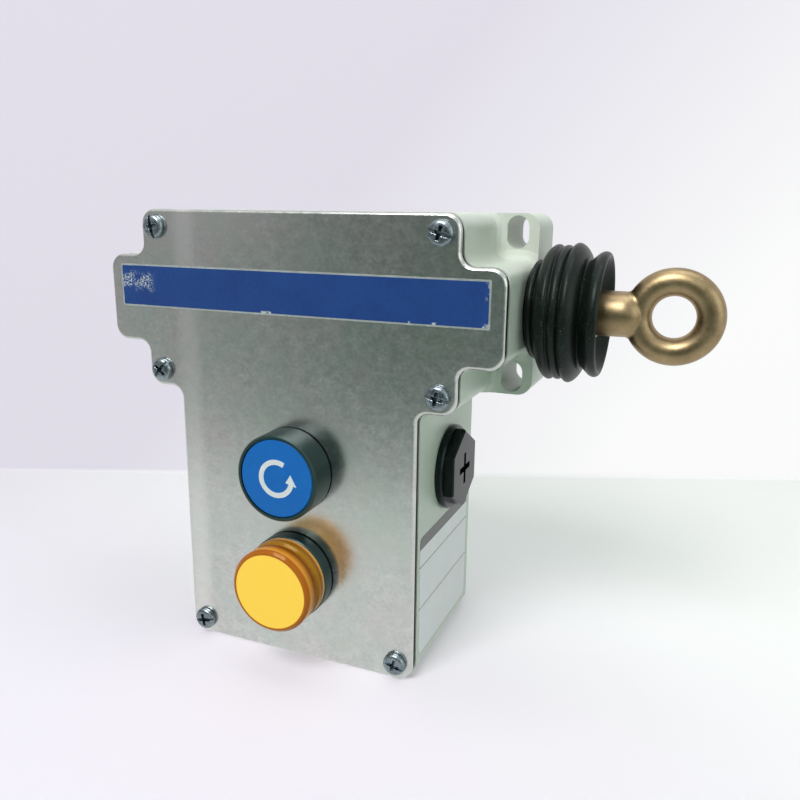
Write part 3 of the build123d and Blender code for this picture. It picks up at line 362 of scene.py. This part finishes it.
paint = finish("grey_green_paint", (0.595, 0.655, 0.575), (0.665, 0.720, 0.640), (0.30, 0.42),
               fine=0.0016, broad=0.030, broad_share=0.7, relief=0.12, depth=0.00015)
dress(paint[0], "housing")


# Thread in the bottom entry: a metric thread cut in the casting, here its low ridges.
# The other two entries have the same thread under their blanking plugs.
def outward(obj):
    """Merges doubles and turns every face of a closed mesh outwards."""
    bm = bmesh.new()
    bm.from_mesh(obj.data)
    bmesh.ops.remove_doubles(bm, verts=bm.verts, dist=1e-7)
    bmesh.ops.recalc_face_normals(bm, faces=bm.faces)
    bm.to_mesh(obj.data)
    bm.free()


def node_tree(name, *sockets):
    """An empty Geometry Nodes tree with named inputs; returned with nodes, links, inputs."""
    tree = bpy.data.node_groups.new(name, "GeometryNodeTree")
    tree.is_modifier = True
    tree.interface.new_socket(name="Geometry", in_out="INPUT", socket_type="NodeSocketGeometry")
    for label, kind in sockets:
        tree.interface.new_socket(name=label, in_out="INPUT", socket_type=kind)
    tree.interface.new_socket(name="Geometry", in_out="OUTPUT", socket_type="NodeSocketGeometry")
    return tree, tree.nodes, tree.links, tree.nodes.new("NodeGroupInput")


def end_tree(tree, shape, material):
    """Ends a tree: instances made real, then the material set."""
    n, l = tree.nodes, tree.links
    real = n.new("GeometryNodeRealizeInstances")
    coat = n.new("GeometryNodeSetMaterial")
    coat.inputs["Material"].default_value = material
    out = n.new("NodeGroupOutput")
    l.new(shape, real.inputs[0])
    l.new(real.outputs[0], coat.inputs["Geometry"])
    l.new(coat.outputs[0], out.inputs[0])


def run_tree(obj, tree, material, **values):
    """Runs a tree on an object and keeps its result as a plain mesh."""
    made = obj.modifiers.new("shape", "NODES")
    made.node_group = tree
    for item in tree.interface.items_tree:
        label = item.name.lower().replace(" ", "_")
        if item.in_out == "INPUT" and label in values:
            made[item.identifier] = values[label]
    seen = obj.evaluated_get(bpy.context.evaluated_depsgraph_get())
    mesh = bpy.data.meshes.new_from_object(seen)
    obj.modifiers.remove(made)
    obj.data = mesh
    if not mesh.materials:
        mesh.materials.append(material)
    outward(obj)


FLOAT, INTEGER = "NodeSocketFloat", "NodeSocketInt"
thread_tree, n, l, given = node_tree(
    "entry_thread", ("Radius", FLOAT), ("Pitch", FLOAT), ("Turns", FLOAT), ("Ridge", FLOAT),
    ("Forward", FLOAT), ("Start", FLOAT))
spiral = n.new("GeometryNodeCurveSpiral")
spiral.inputs["Resolution"].default_value = 48
l.new(given.outputs["Turns"], spiral.inputs["Rotations"])
l.new(given.outputs["Radius"], spiral.inputs["Start Radius"])
l.new(given.outputs["Radius"], spiral.inputs["End Radius"])
climb = sum_of(n, l, "MULTIPLY", given.outputs["Pitch"], given.outputs["Turns"])
l.new(climb, spiral.inputs["Height"])
ridge = n.new("GeometryNodeCurvePrimitiveCircle")
ridge.inputs["Resolution"].default_value = 6
l.new(given.outputs["Ridge"], ridge.inputs["Radius"])
swept = n.new("GeometryNodeCurveToMesh")
swept.inputs["Fill Caps"].default_value = True
l.new(spiral.outputs[0], swept.inputs["Curve"])
l.new(ridge.outputs[0], swept.inputs["Profile Curve"])
offset = n.new("ShaderNodeCombineXYZ")
l.new(given.outputs["Forward"], offset.inputs[1])
l.new(given.outputs["Start"], offset.inputs[2])
moved = n.new("GeometryNodeTransform")
l.new(swept.outputs[0], moved.inputs["Geometry"])
l.new(offset.outputs[0], moved.inputs["Translation"])
end_tree(thread_tree, moved.outputs[0], paint[0])
thread = link_mesh("entry_thread", [(0, 0, 0)], [])
run_tree(thread, thread_tree, paint[0], radius=0.00925, pitch=0.0015, turns=4.5, ridge=0.00032,
         forward=-0.028, start=-0.1211)
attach(thread, "body")


# Cover gasket: a ring of black cellular rubber, cut from sheet and pressed between the
# housing's rim and the cover until it bulges nearly to the edge, where it shows as a dark
# line. The seals under the plugs and the heads are cut from the same sheet.
def face_corners(inset):
    """Corners of the cover's outline, moved in by an inset: (x, z, radius, 1 out or -1 in)."""
    leg, shoulder, band = 0.04325 - inset, 0.056 - inset, 0.070 - inset
    low, high, step, foot = -0.02975 + inset, 0.02975 - inset, 0.01475 - inset, -0.12175 + inset
    out, back = 0.005 - inset, 0.004 + inset
    half = [(shoulder, high, out, 1), (shoulder, step, back, -1), (band, step, out, 1),
            (band, -step, out, 1), (shoulder, -step, back, -1), (shoulder, low, out, 1),
            (leg, low, back, -1), (leg, foot, out, 1)]
    return half + [(-x, z, r, way) for x, z, r, way in reversed(half)]


def face_outline(inset, steps=6):
    """The outline's points all the way round, its corners rounded."""
    corners = face_corners(inset)
    points = []
    for i, (x, z, radius, way) in enumerate(corners):
        here = Vector((x, z))
        before = (Vector(corners[i - 1][:2]) - here).normalized()
        after = (Vector(corners[(i + 1) % len(corners)][:2]) - here).normalized()
        centre = here + (before + after) * radius
        start, end = -after * radius, -before * radius
        for k in range(steps + 1):
            angle = math.pi / 2 * k / steps
            spoke = start * math.cos(angle) + end * math.sin(angle)
            points.append(tuple(centre + spoke))
    return points


def ring_solid(name, outer, inner, front, back):
    """A flat ring between two outlines of equal length, from front to back in Y."""
    count = len(outer)
    verts = [(u, y, v) for y in (front, back) for loop in (outer, inner) for u, v in loop]
    faces = []
    for i in range(count):
        k = (i + 1) % count
        for a, b in ((0, 1), (1, 3), (3, 2), (2, 0)):
            faces.append((a * count + i, a * count + k, b * count + k, b * count + i))
    made = link_mesh(name, verts, faces)
    outward(made)
    return made


rubber = finish("gasket_rubber", (0.004, 0.006, 0.005), (0.012, 0.015, 0.013), (0.70, 0.90),
                fine=0.0007, broad=0.006, relief=0.5, depth=0.0002)
gasket_outside, gasket_inside, gasket_front, gasket_back = 0.0004, 0.0046, -0.0580, -0.0556
gasket = ring_solid("gasket", face_outline(gasket_outside), face_outline(gasket_inside),
                    gasket_front, gasket_back)
gasket.data.materials.append(rubber[0])
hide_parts("cover_gasket")
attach(gasket, "body")
dress(rubber[0], "plug_seals", "reset_seal", "lamp_seal")


# Cover: pressed from zinc-plated sheet, dull and mottled, with fine specks in the plating
# and broad patches a little warmer or greener. A painted reflection runs up its left part.
zinc, n, l, shader = finish("plated_cover", (0.45, 0.47, 0.46), (0.69, 0.70, 0.69), (0.18, 0.28),
                            metallic=1.0, fine=0.0009, broad=0.0035, broad_share=0.45,
                            stretch=1.2, relief=0.05, depth=0.00003)
field = n.new("ShaderNodeGroup")
field.node_tree = grain
field.inputs["Fine Size"].default_value = 0.013
field.inputs["Broad Size"].default_value = 0.021
patch_share, reflection_share, reflection_x, reflection_edge, reflection_core = 0.50, 0.40, -0.039, 0.0065, 0.0010
reflection_colour = (0.86, 0.84, 0.83)
for kind, patch_colour in (("Fine", (0.60, 0.54, 0.53)), ("Broad", (0.45, 0.56, 0.49))):
    lay_over(n, l, shader, sum_of(n, l, "MULTIPLY", field.outputs[kind], patch_share), patch_colour)
# The pale upright band laid over the plating here is a painted reflection.
x, y, z = coordinates(n, l, (reflection_x, 0, 0))
painted_reflection = step_up(n, l, sum_of(n, l, "ABSOLUTE", x), reflection_edge, reflection_core)
lay_over(n, l, shader, sum_of(n, l, "MULTIPLY", painted_reflection, reflection_share), reflection_colour)
dress(zinc, "cover")


# Name strip: anodised foil stuck across the cover, with a printed blue field. The field
# is bare here. It is scuffed at its left end, and its lower edge is chipped.
def rounded_outline(half_u, half_v, corner, steps=5):
    """The corner points of a rounded rectangle, all the way round."""
    points = []
    for k, (su, sv) in enumerate(((1, 1), (-1, 1), (-1, -1), (1, -1))):
        for i in range(steps + 1):
            angle = math.radians(90 * (k + i / steps))
            points.append((su * (half_u - corner) + corner * math.cos(angle),
                           sv * (half_v - corner) + corner * math.sin(angle)))
    return points


def stacked(name, outlines, place):
    """A closed solid through matching outlines, each put in space by place(u, v, level)."""
    verts, faces = [], []
    count = len(outlines[0][0])
    for outline, level in outlines:
        verts += [place(u, v, level) for u, v in outline]
    for j in range(len(outlines) - 1):
        for i in range(count):
            k = (i + 1) % count
            faces.append((j * count + i, j * count + k, (j + 1) * count + k, (j + 1) * count + i))
    faces.append(tuple(range(count)))
    faces.append(tuple(range((len(outlines) - 1) * count, len(outlines) * count)))
    made = link_mesh(name, verts, faces)
    outward(made)
    return made


cover_face = -0.0598
strip_half_length, strip_half_height, strip_z = 0.0656, 0.00715, 0.00435
foil_thickness, film_thickness, strip_border = 0.00012, 0.00005, 0.00055


def on_strip(u, v, level):
    return (u, cover_face - level, strip_z + v)


foil_edge = rounded_outline(strip_half_length, strip_half_height, 0.0006)
film_edge = rounded_outline(strip_half_length - strip_border,
                            strip_half_height - strip_border, 0.0004)
strip = stacked("name_strip", (
    (foil_edge, -0.00001), (foil_edge, foil_thickness), (film_edge, foil_thickness),
    (film_edge, foil_thickness + film_thickness)), on_strip)
blue_film, n, l, shader = finish("blue_print", (0.010, 0.044, 0.20), (0.014, 0.062, 0.26),
                                 (0.30, 0.40), fine=0.0012, broad=0.012, relief=0.0)
shader.inputs["Specular IOR Level"].default_value = 0.35
x, y, z = coordinates(n, l, (0, 0, strip_z))
scuff = n.new("ShaderNodeGroup")
scuff.node_tree = grain
scuff.inputs["Fine Size"].default_value = 0.0006
scuff.inputs["Broad Size"].default_value = 0.0040
rubbed = sum_of(n, l, "MULTIPLY", step_up(n, l, scuff.outputs["Fine"], 0.40, 0.75),
                step_up(n, l, scuff.outputs["Broad"], 0.25, 0.75))
scuff_z = 0.0012
from_scuff = sum_of(n, l, "ABSOLUTE", sum_of(n, l, "SUBTRACT", z, scuff_z))
left_end = sum_of(n, l, "MULTIPLY", step_up(n, l, x, -0.0500, -0.0560),
                  step_up(n, l, from_scuff, 0.0042, 0.0018))
low_edge = sum_of(n, l, "MULTIPLY", step_up(n, l, z, -0.0057, -0.0064),
                  step_up(n, l, scuff.outputs["Broad"], 0.80, 0.92))
right_edge = sum_of(n, l, "MULTIPLY", step_up(n, l, x, 0.0634, 0.0650),
                    step_up(n, l, scuff.outputs["Broad"], 0.55, 0.80))
worn = sum_of(n, l, "MAXIMUM", sum_of(n, l, "MULTIPLY", rubbed, left_end), low_edge)
worn = sum_of(n, l, "MAXIMUM", worn, sum_of(n, l, "MULTIPLY", right_edge, 0.7))
lay_over(n, l, shader, worn, (0.55, 0.60, 0.60))
foil = finish("bare_foil", (0.42, 0.47, 0.47), (0.66, 0.70, 0.69), (0.28, 0.42),
              metallic=0.6, fine=0.0006, broad=0.004, relief=0.15)
strip.data.materials.append(foil[0])
strip.data.materials.append(blue_film)
for face in strip.data.polygons:
    lowest = min(-(strip.data.vertices[i].co.y - cover_face) for i in face.vertices)
    if lowest > foil_thickness - 1e-6 and len(face.vertices) > 4:
        face.material_index = 1
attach(strip, "body")


# Cover screws: six M4 pan heads in bright zinc plate, each with a slot and a cross, left
# at whatever turn they came tight.
def revolved(name, profile, place, count):
    """A closed shape of revolution. The profile is (along, radius) points, either closed
    or with both ends on the axis; place(along, radius, angle) puts a point in space."""
    verts, rings, faces = [], [], []
    for along, radius in profile:
        if radius == 0:
            verts.append(place(along, 0, 0))
            rings.append([len(verts) - 1] * count)
        else:
            rings.append(list(range(len(verts), len(verts) + count)))
            verts += [place(along, radius, 2 * math.pi * k / count) for k in range(count)]
    pairs = list(zip(rings, rings[1:]))
    if profile[0][1] > 0:
        pairs.append((rings[-1], rings[0]))
    for near, far in pairs:
        for k in range(count):
            m = (k + 1) % count
            face = []
            for v in (near[k], near[m], far[m], far[k]):
                if v not in face:
                    face.append(v)
            if len(face) > 2:
                faces.append(face)
    made = link_mesh(name, verts, faces, smooth=True)
    outward(made)
    return made


def block(name, half_x, half_z, front, back, taper):
    """A tapered cutter: widest at the front, narrower by the taper at the back."""
    verts = []
    for y, share in ((front, 1.0), (back, taper)):
        for sx, sz in ((-1, -1), (1, -1), (1, 1), (-1, 1)):
            verts.append((sx * half_x * share, y, sz * half_z * share))
    made = link_mesh(name, verts, [(0, 1, 2, 3), (7, 6, 5, 4), (0, 4, 5, 1), (1, 5, 6, 2),
                                   (2, 6, 7, 3), (3, 7, 4, 0)])
    outward(made)
    return made


def cut_away(obj, *cutters):
    """Cuts the cutters out of an object, bakes the result and removes the cutters."""
    for cutter in cutters:
        made = obj.modifiers.new("cut", "BOOLEAN")
        made.operation = "DIFFERENCE"
        made.solver = "EXACT"
        made.object = cutter
    seen = obj.evaluated_get(bpy.context.evaluated_depsgraph_get())
    mesh = bpy.data.meshes.new_from_object(seen)
    obj.modifiers.clear()
    obj.data = mesh
    for cutter in cutters:
        bpy.data.objects.remove(cutter)


head_radius, head_height, shank_radius, shank_length = 0.0039, 0.0024, 0.0020, 0.0116
head_profile = [(-shank_length, 0), (-shank_length, shank_radius - 0.0004),
                (-shank_length + 0.0006, shank_radius), (0, shank_radius),
                (0, head_radius - 0.0002), (0.00025, head_radius), (0.0010, head_radius)]
for i in range(1, 7):
    angle = math.radians(90 * i / 7)
    head_profile.append((0.0010 + 0.0012 * math.sin(angle),
                         head_radius - 0.0016 * (1 - math.cos(angle))))
head_profile += [(head_height - 0.00005, 0.0016), (head_height, 0)]
head = revolved("screw_head", head_profile,
                lambda a, r, t: (r * math.cos(t), -a, r * math.sin(t)), 40)
slot_depth, cross_depth, cross_taper = 0.0011, 0.0020, 0.55
top = -(head_height + 0.0002)
slot_floor, cross_floor = slot_depth - head_height, cross_depth - head_height
cut_away(head,
         block("slot", 0.0046, 0.00048, top, slot_floor, 1.0),
         block("cross_a", 0.0024, 0.00062, top, cross_floor, cross_taper),
         block("cross_b", 0.00062, 0.0024, top, cross_floor, cross_taper))
screw_metal = finish("bright_zinc", (0.10, 0.13, 0.15), (0.34, 0.40, 0.43), (0.22, 0.36),
                     metallic=1.0, fine=0.0006, broad=0.0030, relief=0.20, depth=0.00006)[0]
screw_tree, n, l, given = node_tree(
    "cover_screw_set", ("Head", "NodeSocketObject"), ("Turn", FLOAT), ("Seed", INTEGER))
pattern = n.new("GeometryNodeObjectInfo")
l.new(given.outputs["Head"], pattern.inputs["Object"])
chance = n.new("FunctionNodeRandomValue")
l.new(given.outputs["Turn"], chance.inputs[3])
l.new(given.outputs["Seed"], chance.inputs["Seed"])
facing = n.new("ShaderNodeCombineXYZ")
l.new(chance.outputs[1], facing.inputs[1])
placed = n.new("GeometryNodeInstanceOnPoints")
l.new(given.outputs["Geometry"], placed.inputs["Points"])
l.new(pattern.outputs["Geometry"], placed.inputs["Instance"])
l.new(facing.outputs[0], placed.inputs["Rotation"])
end_tree(screw_tree, placed.outputs[0], screw_metal)
screw_x, screw_z, leg_screw_x, leg_screw_z = 0.0503, 0.02405, 0.03755, -0.11605
screw_spots = [(sx * screw_x, cover_face, sz * screw_z) for sx in (-1, 1) for sz in (-1, 1)]
screw_spots += [(sx * leg_screw_x, cover_face, leg_screw_z) for sx in (-1, 1)]
screws = link_mesh("cover_screw_heads", screw_spots, [])
run_tree(screws, screw_tree, screw_metal, head=head, turn=3.1, seed=7)
bpy.data.objects.remove(head)
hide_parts("cover_screws")
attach(screws, "body")
dress(screw_metal, "eye_washer")


# Side label: white foil on the right wall below the plug, its printing left off but for
# the dark band and the rules. Its corners are rounded.
wall_face = 0.04325
label_y, label_z, label_half_y, label_half_z = -0.0289, -0.0945, 0.0244, 0.0210
label_edge = rounded_outline(label_half_y, label_half_z, 0.0022)


def on_wall(u, v, level):
    return (wall_face + level, label_y + u, label_z + v)


label = stacked("side_label", ((label_edge, -0.00001), (label_edge, 0.00012)), on_wall)
white_foil, n, l, shader = finish("white_label", (0.88, 0.87, 0.92), (0.94, 0.93, 0.97),
                                  (0.36, 0.42), fine=0.0010, broad=0.015, relief=0.0)
shader.inputs["Specular IOR Level"].default_value = 0.8
x, y, z = coordinates(n, l, (0, label_y, label_z))
band = step_up(n, l, z, label_half_z - 0.0041, label_half_z - 0.0039)
lay_over(n, l, shader, band, (0.050, 0.066, 0.062))
for rule_z in (0.0108, -0.0041):
    near = sum_of(n, l, "ABSOLUTE", sum_of(n, l, "SUBTRACT", z, rule_z))
    lay_over(n, l, shader, step_up(n, l, near, 0.00024, 0.00014), (0.10, 0.11, 0.11))
label.data.materials.append(white_foil)
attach(label, "body")


# Entry plugs: glossy black nylon blanking plugs with a hexagon on a round flange and a
# cross recess, screwed into the two side entries.
nylon, n, l, shader = finish("black_nylon", (0.004, 0.007, 0.006), (0.010, 0.014, 0.013),
                             (0.16, 0.26), fine=0.0010, broad=0.008, relief=0.06)
shader.inputs["Specular IOR Level"].default_value = 0.18
shader.inputs["Specular Tint"].default_value = (0.70, 1.0, 1.0, 1)
dress(nylon, "entry_plugs")


# Control heads: a bezel and a lamp base in dark satin plastic, with a fine spark-eroded
# texture from the mould.
satin, n, l, shader = finish("dark_satin_plastic", (0.003, 0.015, 0.014), (0.006, 0.025, 0.023),
                             (0.28, 0.38), fine=0.0005, broad=0.010, relief=0.12, depth=0.00006)
shader.inputs["Specular IOR Level"].default_value = 0.56
shader.inputs["Specular Tint"].default_value = (0.72, 1.0, 0.98, 1)
dress(satin, "reset_bezel", "lamp_base")


# Reset cap: a blue moulded disc, with a raised white arrow that runs round on itself in
# place of the printing. The arrow is moulded with the cap and moves with it.
blue_cap, n, l, shader = finish("blue_cap", (0.004, 0.130, 0.48), (0.006, 0.150, 0.54),
                                (0.30, 0.40), fine=0.0012, broad=0.010, relief=0.04)
shader.inputs["Specular IOR Level"].default_value = 0.25
dress(blue_cap, "reset_cap")
cap_face, reset_z = -0.0701, -0.0536
arrow_in, arrow_out, arrow_head, arrow_rise = 0.0047, 0.0064, 0.0033, 0.00012
turn_from, turn_to = math.radians(60), math.radians(345)
arc_steps, barb, tip_turn = 40, arrow_head * 0.62, 0.62
arc = [turn_from + (turn_to - turn_from) * i / arc_steps for i in range(arc_steps + 1)]
outline = [(arrow_out * math.cos(a), arrow_out * math.sin(a)) for a in arc]
middle = (arrow_in + arrow_out) / 2
tip = turn_to + tip_turn
for reach, a in ((middle + barb, turn_to), (middle, tip), (middle - barb, turn_to)):
    outline.append((reach * math.cos(a), reach * math.sin(a)))
outline += [(arrow_in * math.cos(a), arrow_in * math.sin(a)) for a in reversed(arc)]
arrow = stacked("reset_arrow", ((outline, -0.00002), (outline, arrow_rise)),
                lambda u, v, level: (u, cap_face - level, reset_z + v))
white_print = finish("white_mark", (0.70, 0.74, 0.78), (0.78, 0.81, 0.84), (0.30, 0.40),
                     fine=0.0010, broad=0.006, relief=0.05)
arrow.data.materials.append(white_print[0])
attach(arrow, "button")


# Pilot light: a lens of clear amber plastic, ribbed by one groove, over a frosted disc
# seen through its flat face, which glows with painted light. The bulb and its holder stand behind
# it.
amber, n, l, shader = finish("amber_lens", (0.50, 0.150, 0.012), (0.60, 0.190, 0.018),
                             (0.11, 0.18), fine=0.0020, broad=0.012, relief=0.0)
lamp_z, lens_face, face_radius, lens_reach = -0.0904, -0.0761, 0.0128, 0.0111
x, y, z = coordinates(n, l, (0, lens_face, lamp_z))
away = sum_of(n, l, "SQRT", sum_of(n, l, "ADD", sum_of(n, l, "MULTIPLY", x, x),
                                   sum_of(n, l, "MULTIPLY", z, z)))
disc = sum_of(n, l, "MULTIPLY", step_up(n, l, away, face_radius + 0.0001, face_radius - 0.0003),
              step_up(n, l, y, 0.0004, 0.0001))
# The bands along the side are partly painted light: the bright band near the front is a painted
# highlight, and the darkest band is painted shade in the groove.
rings = ramp(n, l, y, 0.0, lens_reach, (
    (0.0, (0.34, 0.10, 0.010)), (0.08, (0.30, 0.08, 0.006)), (0.17, (0.85, 0.40, 0.06)),
    (0.30, (0.50, 0.20, 0.02)), (0.42, (0.05, 0.012, 0.002)), (0.56, (0.18, 0.085, 0.005)),
    (0.74, (0.28, 0.18, 0.015)), (0.86, (0.12, 0.045, 0.004)), (0.94, (0.72, 0.40, 0.10))))
ring_share, disc_colour, disc_glow = 0.8, (0.70, 0.47, 0.055), (0.75, 0.46, 0.07)
side_seen, side_reflected, glow_strength = (0.09, 0.022, 0.001), (0.58, 0.38, 0.18), 0.55
moulded = shader.inputs["Base Color"].links[0].from_socket
l.new(mix_colours(n, l, ring_share, moulded, rings), shader.inputs["Base Color"])
lay_over(n, l, shader, disc, disc_colour)
# The emission is painted light: a glow on the disc, a faint one on the sides, and a much brighter
# one seen only in reflections, which paints the lens's amber reflection on the cover.
rays = n.new("ShaderNodeLightPath")
side_glow = mix_colours(n, l, rays.outputs["Is Glossy Ray"], side_seen, side_reflected)
l.new(mix_colours(n, l, disc, side_glow, disc_glow), shader.inputs["Emission Color"])
shader.inputs["Emission Strength"].default_value = glow_strength
shader.inputs["Specular IOR Level"].default_value = 0.22
shader.inputs["Specular Tint"].default_value = (1.0, 0.74, 0.40, 1)
dress(amber, "lamp_lens")
glass = finish("frosted_bulb", (0.72, 0.72, 0.68), (0.84, 0.84, 0.80), (0.12, 0.22),
               fine=0.0012, broad=0.004, relief=0.05)
dress(glass[0], "lamp_bulb")


# Moulded insulation inside: black for the nuts, the stem, the lamp holder and the contact
# block, pale for the terminal strip, and natural acetal for the slide.
moulding = finish("black_moulding", (0.012, 0.013, 0.014), (0.030, 0.031, 0.033), (0.38, 0.52),
                  fine=0.0006, broad=0.006, relief=0.20)
dress(moulding[0], "reset_nut", "lamp_nut", "reset_stem", "lamp_holder", "contact_block")
pale_moulding = finish("pale_moulding", (0.56, 0.56, 0.52), (0.68, 0.68, 0.63), (0.36, 0.50),
                       fine=0.0006, broad=0.008, relief=0.15)
dress(pale_moulding[0], "terminal_block")
acetal = finish("natural_acetal", (0.66, 0.65, 0.58), (0.76, 0.75, 0.69), (0.28, 0.40),
                fine=0.0008, broad=0.008, relief=0.08)
dress(acetal[0], "contact_slide")


# Rod and bushes: a ground steel rod in turned brass bushes, with the ground pins that
# cross it and that the levers turn on. All of it is inside.
ground_steel = finish("ground_steel", (0.40, 0.41, 0.42), (0.60, 0.61, 0.62), (0.20, 0.32),
                      metallic=1.0, fine=0.0004, broad=0.005, stretch=0.15, relief=0.12)
dress(ground_steel[0], "pull_rod", "cross_pin", "pivot_pin", "lever_pin")
brass = finish("turned_brass", (0.42, 0.30, 0.12), (0.66, 0.50, 0.23), (0.24, 0.36),
               metallic=1.0, fine=0.0005, broad=0.006, stretch=0.15, relief=0.15)
dress(brass[0], "rod_bush", "bush_nut", "guide_bush")


# Springs: coils of hard-drawn wire that return the rod, the reset cap and the reset lever.
# Each rests on a seat; here each keeps the shape of its CAD node and stands still, and
# doesn't close up as its other end is pushed. The pivot's clip is bent from the same wire.
spring_wire = finish("spring_wire", (0.22, 0.23, 0.25), (0.44, 0.45, 0.48), (0.24, 0.38),
                     metallic=1.0, fine=0.0004, broad=0.003, relief=0.15)
dress(spring_wire[0], "pivot_clip")
rod_y, lever_coil_z = -0.0268, -0.0618


def seat_spring(name, node):
    """A spring in spring wire, copied from its CAD node; it stands still and doesn't close up."""
    coil = bpy.data.objects.new(name, nodes[node].data.copy())
    bpy.context.collection.objects.link(coil)
    outward(coil)
    coil.data.materials.clear()
    coil.data.materials.append(spring_wire[0])
    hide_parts(node)
    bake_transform(coil)


seat_spring("return_coil", "rod_spring")
seat_spring("reset_coil", "reset_spring")
seat_spring("lever_coil", "lever_spring")


# Levers and contacts: pressed steel levers, collar and clamp, plated against rust, which
# carry the rod's travel down to copper contacts held by plated screws and terminals.
plated_steel = finish("plated_steel", (0.42, 0.43, 0.42), (0.64, 0.65, 0.62), (0.32, 0.46),
                      metallic=1.0, fine=0.0006, broad=0.005, relief=0.20)
dress(plated_steel[0], "trip_lever", "reset_lever", "cam_collar", "spring_seat", "earth_clamp")
inner_screws = finish("plated_screws", (0.46, 0.49, 0.52), (0.68, 0.71, 0.74), (0.24, 0.36),
                      metallic=1.0, fine=0.0005, broad=0.003, relief=0.20)
dress(inner_screws[0], "block_screws", "contact_terminals", "terminal_screws", "earth_screw")
copper = finish("contact_copper", (0.50, 0.22, 0.12), (0.74, 0.38, 0.24), (0.26, 0.38),
                metallic=1.0, fine=0.0005, broad=0.004, relief=0.12)
dress(copper[0], "fixed_contacts", "moving_contacts")


# Boot: one moulding in black rubber, a little dusty. Its folds lie packed against the end
# wall; on the real switch they open when the rod is pulled out, but here the boot stands still.
# Its sleeve grips the rod, and its flared mouth stands round the washer. The line is (along,
# radius) in millimetres.
def curve_through(points, steps):
    """A smooth line through points, with so many steps between each two."""
    ends = [points[0], *points, points[-1]]
    made = []
    for p0, p1, p2, p3 in zip(ends, ends[1:], ends[2:], ends[3:]):
        for i in range(steps):
            t = i / steps
            made.append(tuple(
                0.5 * (2 * b + (c - a) * t + (2 * a - 5 * b + 4 * c - d) * t * t
                       + (3 * b - a - 3 * c + d) * t * t * t)
                for a, b, c, d in zip(p0, p1, p2, p3)))
    made.append(points[-1])
    return made


end_wall = 0.070
fold_steps, fold_fullness = 16, 0.55
valleys = ((0.6, 13.8), (3.2, 14.6), (8.6, 19.6), (11.8, 19.6), (17.4, 16.6))
crests = ((1.7, 15.6), (6.0, 20.5), (10.2, 21.0), (14.3, 21.5))
line = [(0.15, 11.6), (0.15, 13.6)]
for (x0, r0), (xc, rc), (x1, r1) in zip(valleys, crests, valleys[1:]):
    for i in range(fold_steps):
        t = i / fold_steps
        along = x0 + (xc - x0) * 2 * t if t < 0.5 else xc + (x1 - xc) * (2 * t - 1)
        base = r0 + (r1 - r0) * t
        line.append((along, base + (rc - (r0 + r1) / 2) * math.sin(math.pi * t) ** fold_fullness))
line += curve_through([(17.2, 16.6), (17.9, 16.9), (18.9, 17.9), (20.2, 19.0), (21.5, 19.4),
                       (22.6, 19.0), (23.0, 18.1), (22.6, 17.4), (21.2, 16.5), (19.4, 15.3),
                       (18.2, 14.0), (17.7, 12.4), (18.0, 10.8), (19.0, 9.7)], 4)
line += [(19.68, 9.2), (19.68, 4.2), (15.8, 4.2), (15.8, 11.6), (14.1, 17.6), (6.8, 17.6),
         (4.6, 11.6)]
boot_sag, boot_tilt = 0.0006, 0.020


def on_boot(along, radius, angle):
    """A point of the boot, which droops a little towards its open mouth."""
    loose = min(1.0, max(0.0, radius - 9.5) / 4.0)
    hang = min(1.0, max(0.0, along - 2.0) / 4.0) * loose
    lean = max(0.0, along - 4.0) / 18.0 * loose
    rise = radius / 1000 * math.sin(angle)
    return (end_wall + along / 1000 + boot_tilt * lean * rise,
            rod_y - radius / 1000 * math.cos(angle), rise - boot_sag * hang)


boot = revolved("rubber_boot", line, on_boot, 128)
boot_rubber, n, l, shader = finish("boot_rubber", (0.002, 0.0036, 0.0028), (0.006, 0.0095, 0.0075),
                                   (0.32, 0.44), fine=0.0009, broad=0.008, relief=0.10)
shader.inputs["Specular IOR Level"].default_value = 0.22
shader.inputs["Specular Tint"].default_value = (0.80, 1.0, 0.90, 1)
dust = n.new("ShaderNodeGroup")
dust.node_tree = grain
dust.inputs["Fine Size"].default_value = 0.00045
dust.inputs["Broad Size"].default_value = 0.006
specks = sum_of(n, l, "MULTIPLY", step_up(n, l, dust.outputs["Fine"], 0.86, 0.98),
                dust.outputs["Broad"])
dust_share, dust_colour = 0.5, (0.30, 0.31, 0.28)
lay_over(n, l, shader, sum_of(n, l, "MULTIPLY", specks, dust_share), dust_colour)
boot.data.materials.append(boot_rubber)
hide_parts("boot")
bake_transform(boot)


# Eye: forged steel in dull bronze passivation, worn to a browner tone where hands and
# rope have rubbed it. It is screwed on the end of the rod.
bronze = finish("bronze_passivation", (0.245, 0.180, 0.096), (0.385, 0.298, 0.168), (0.33, 0.43),
                metallic=1.0, fine=0.0010, broad=0.0060, broad_share=0.65,
                relief=0.10, depth=0.00006)
dress(bronze[0], "eye_bolt")
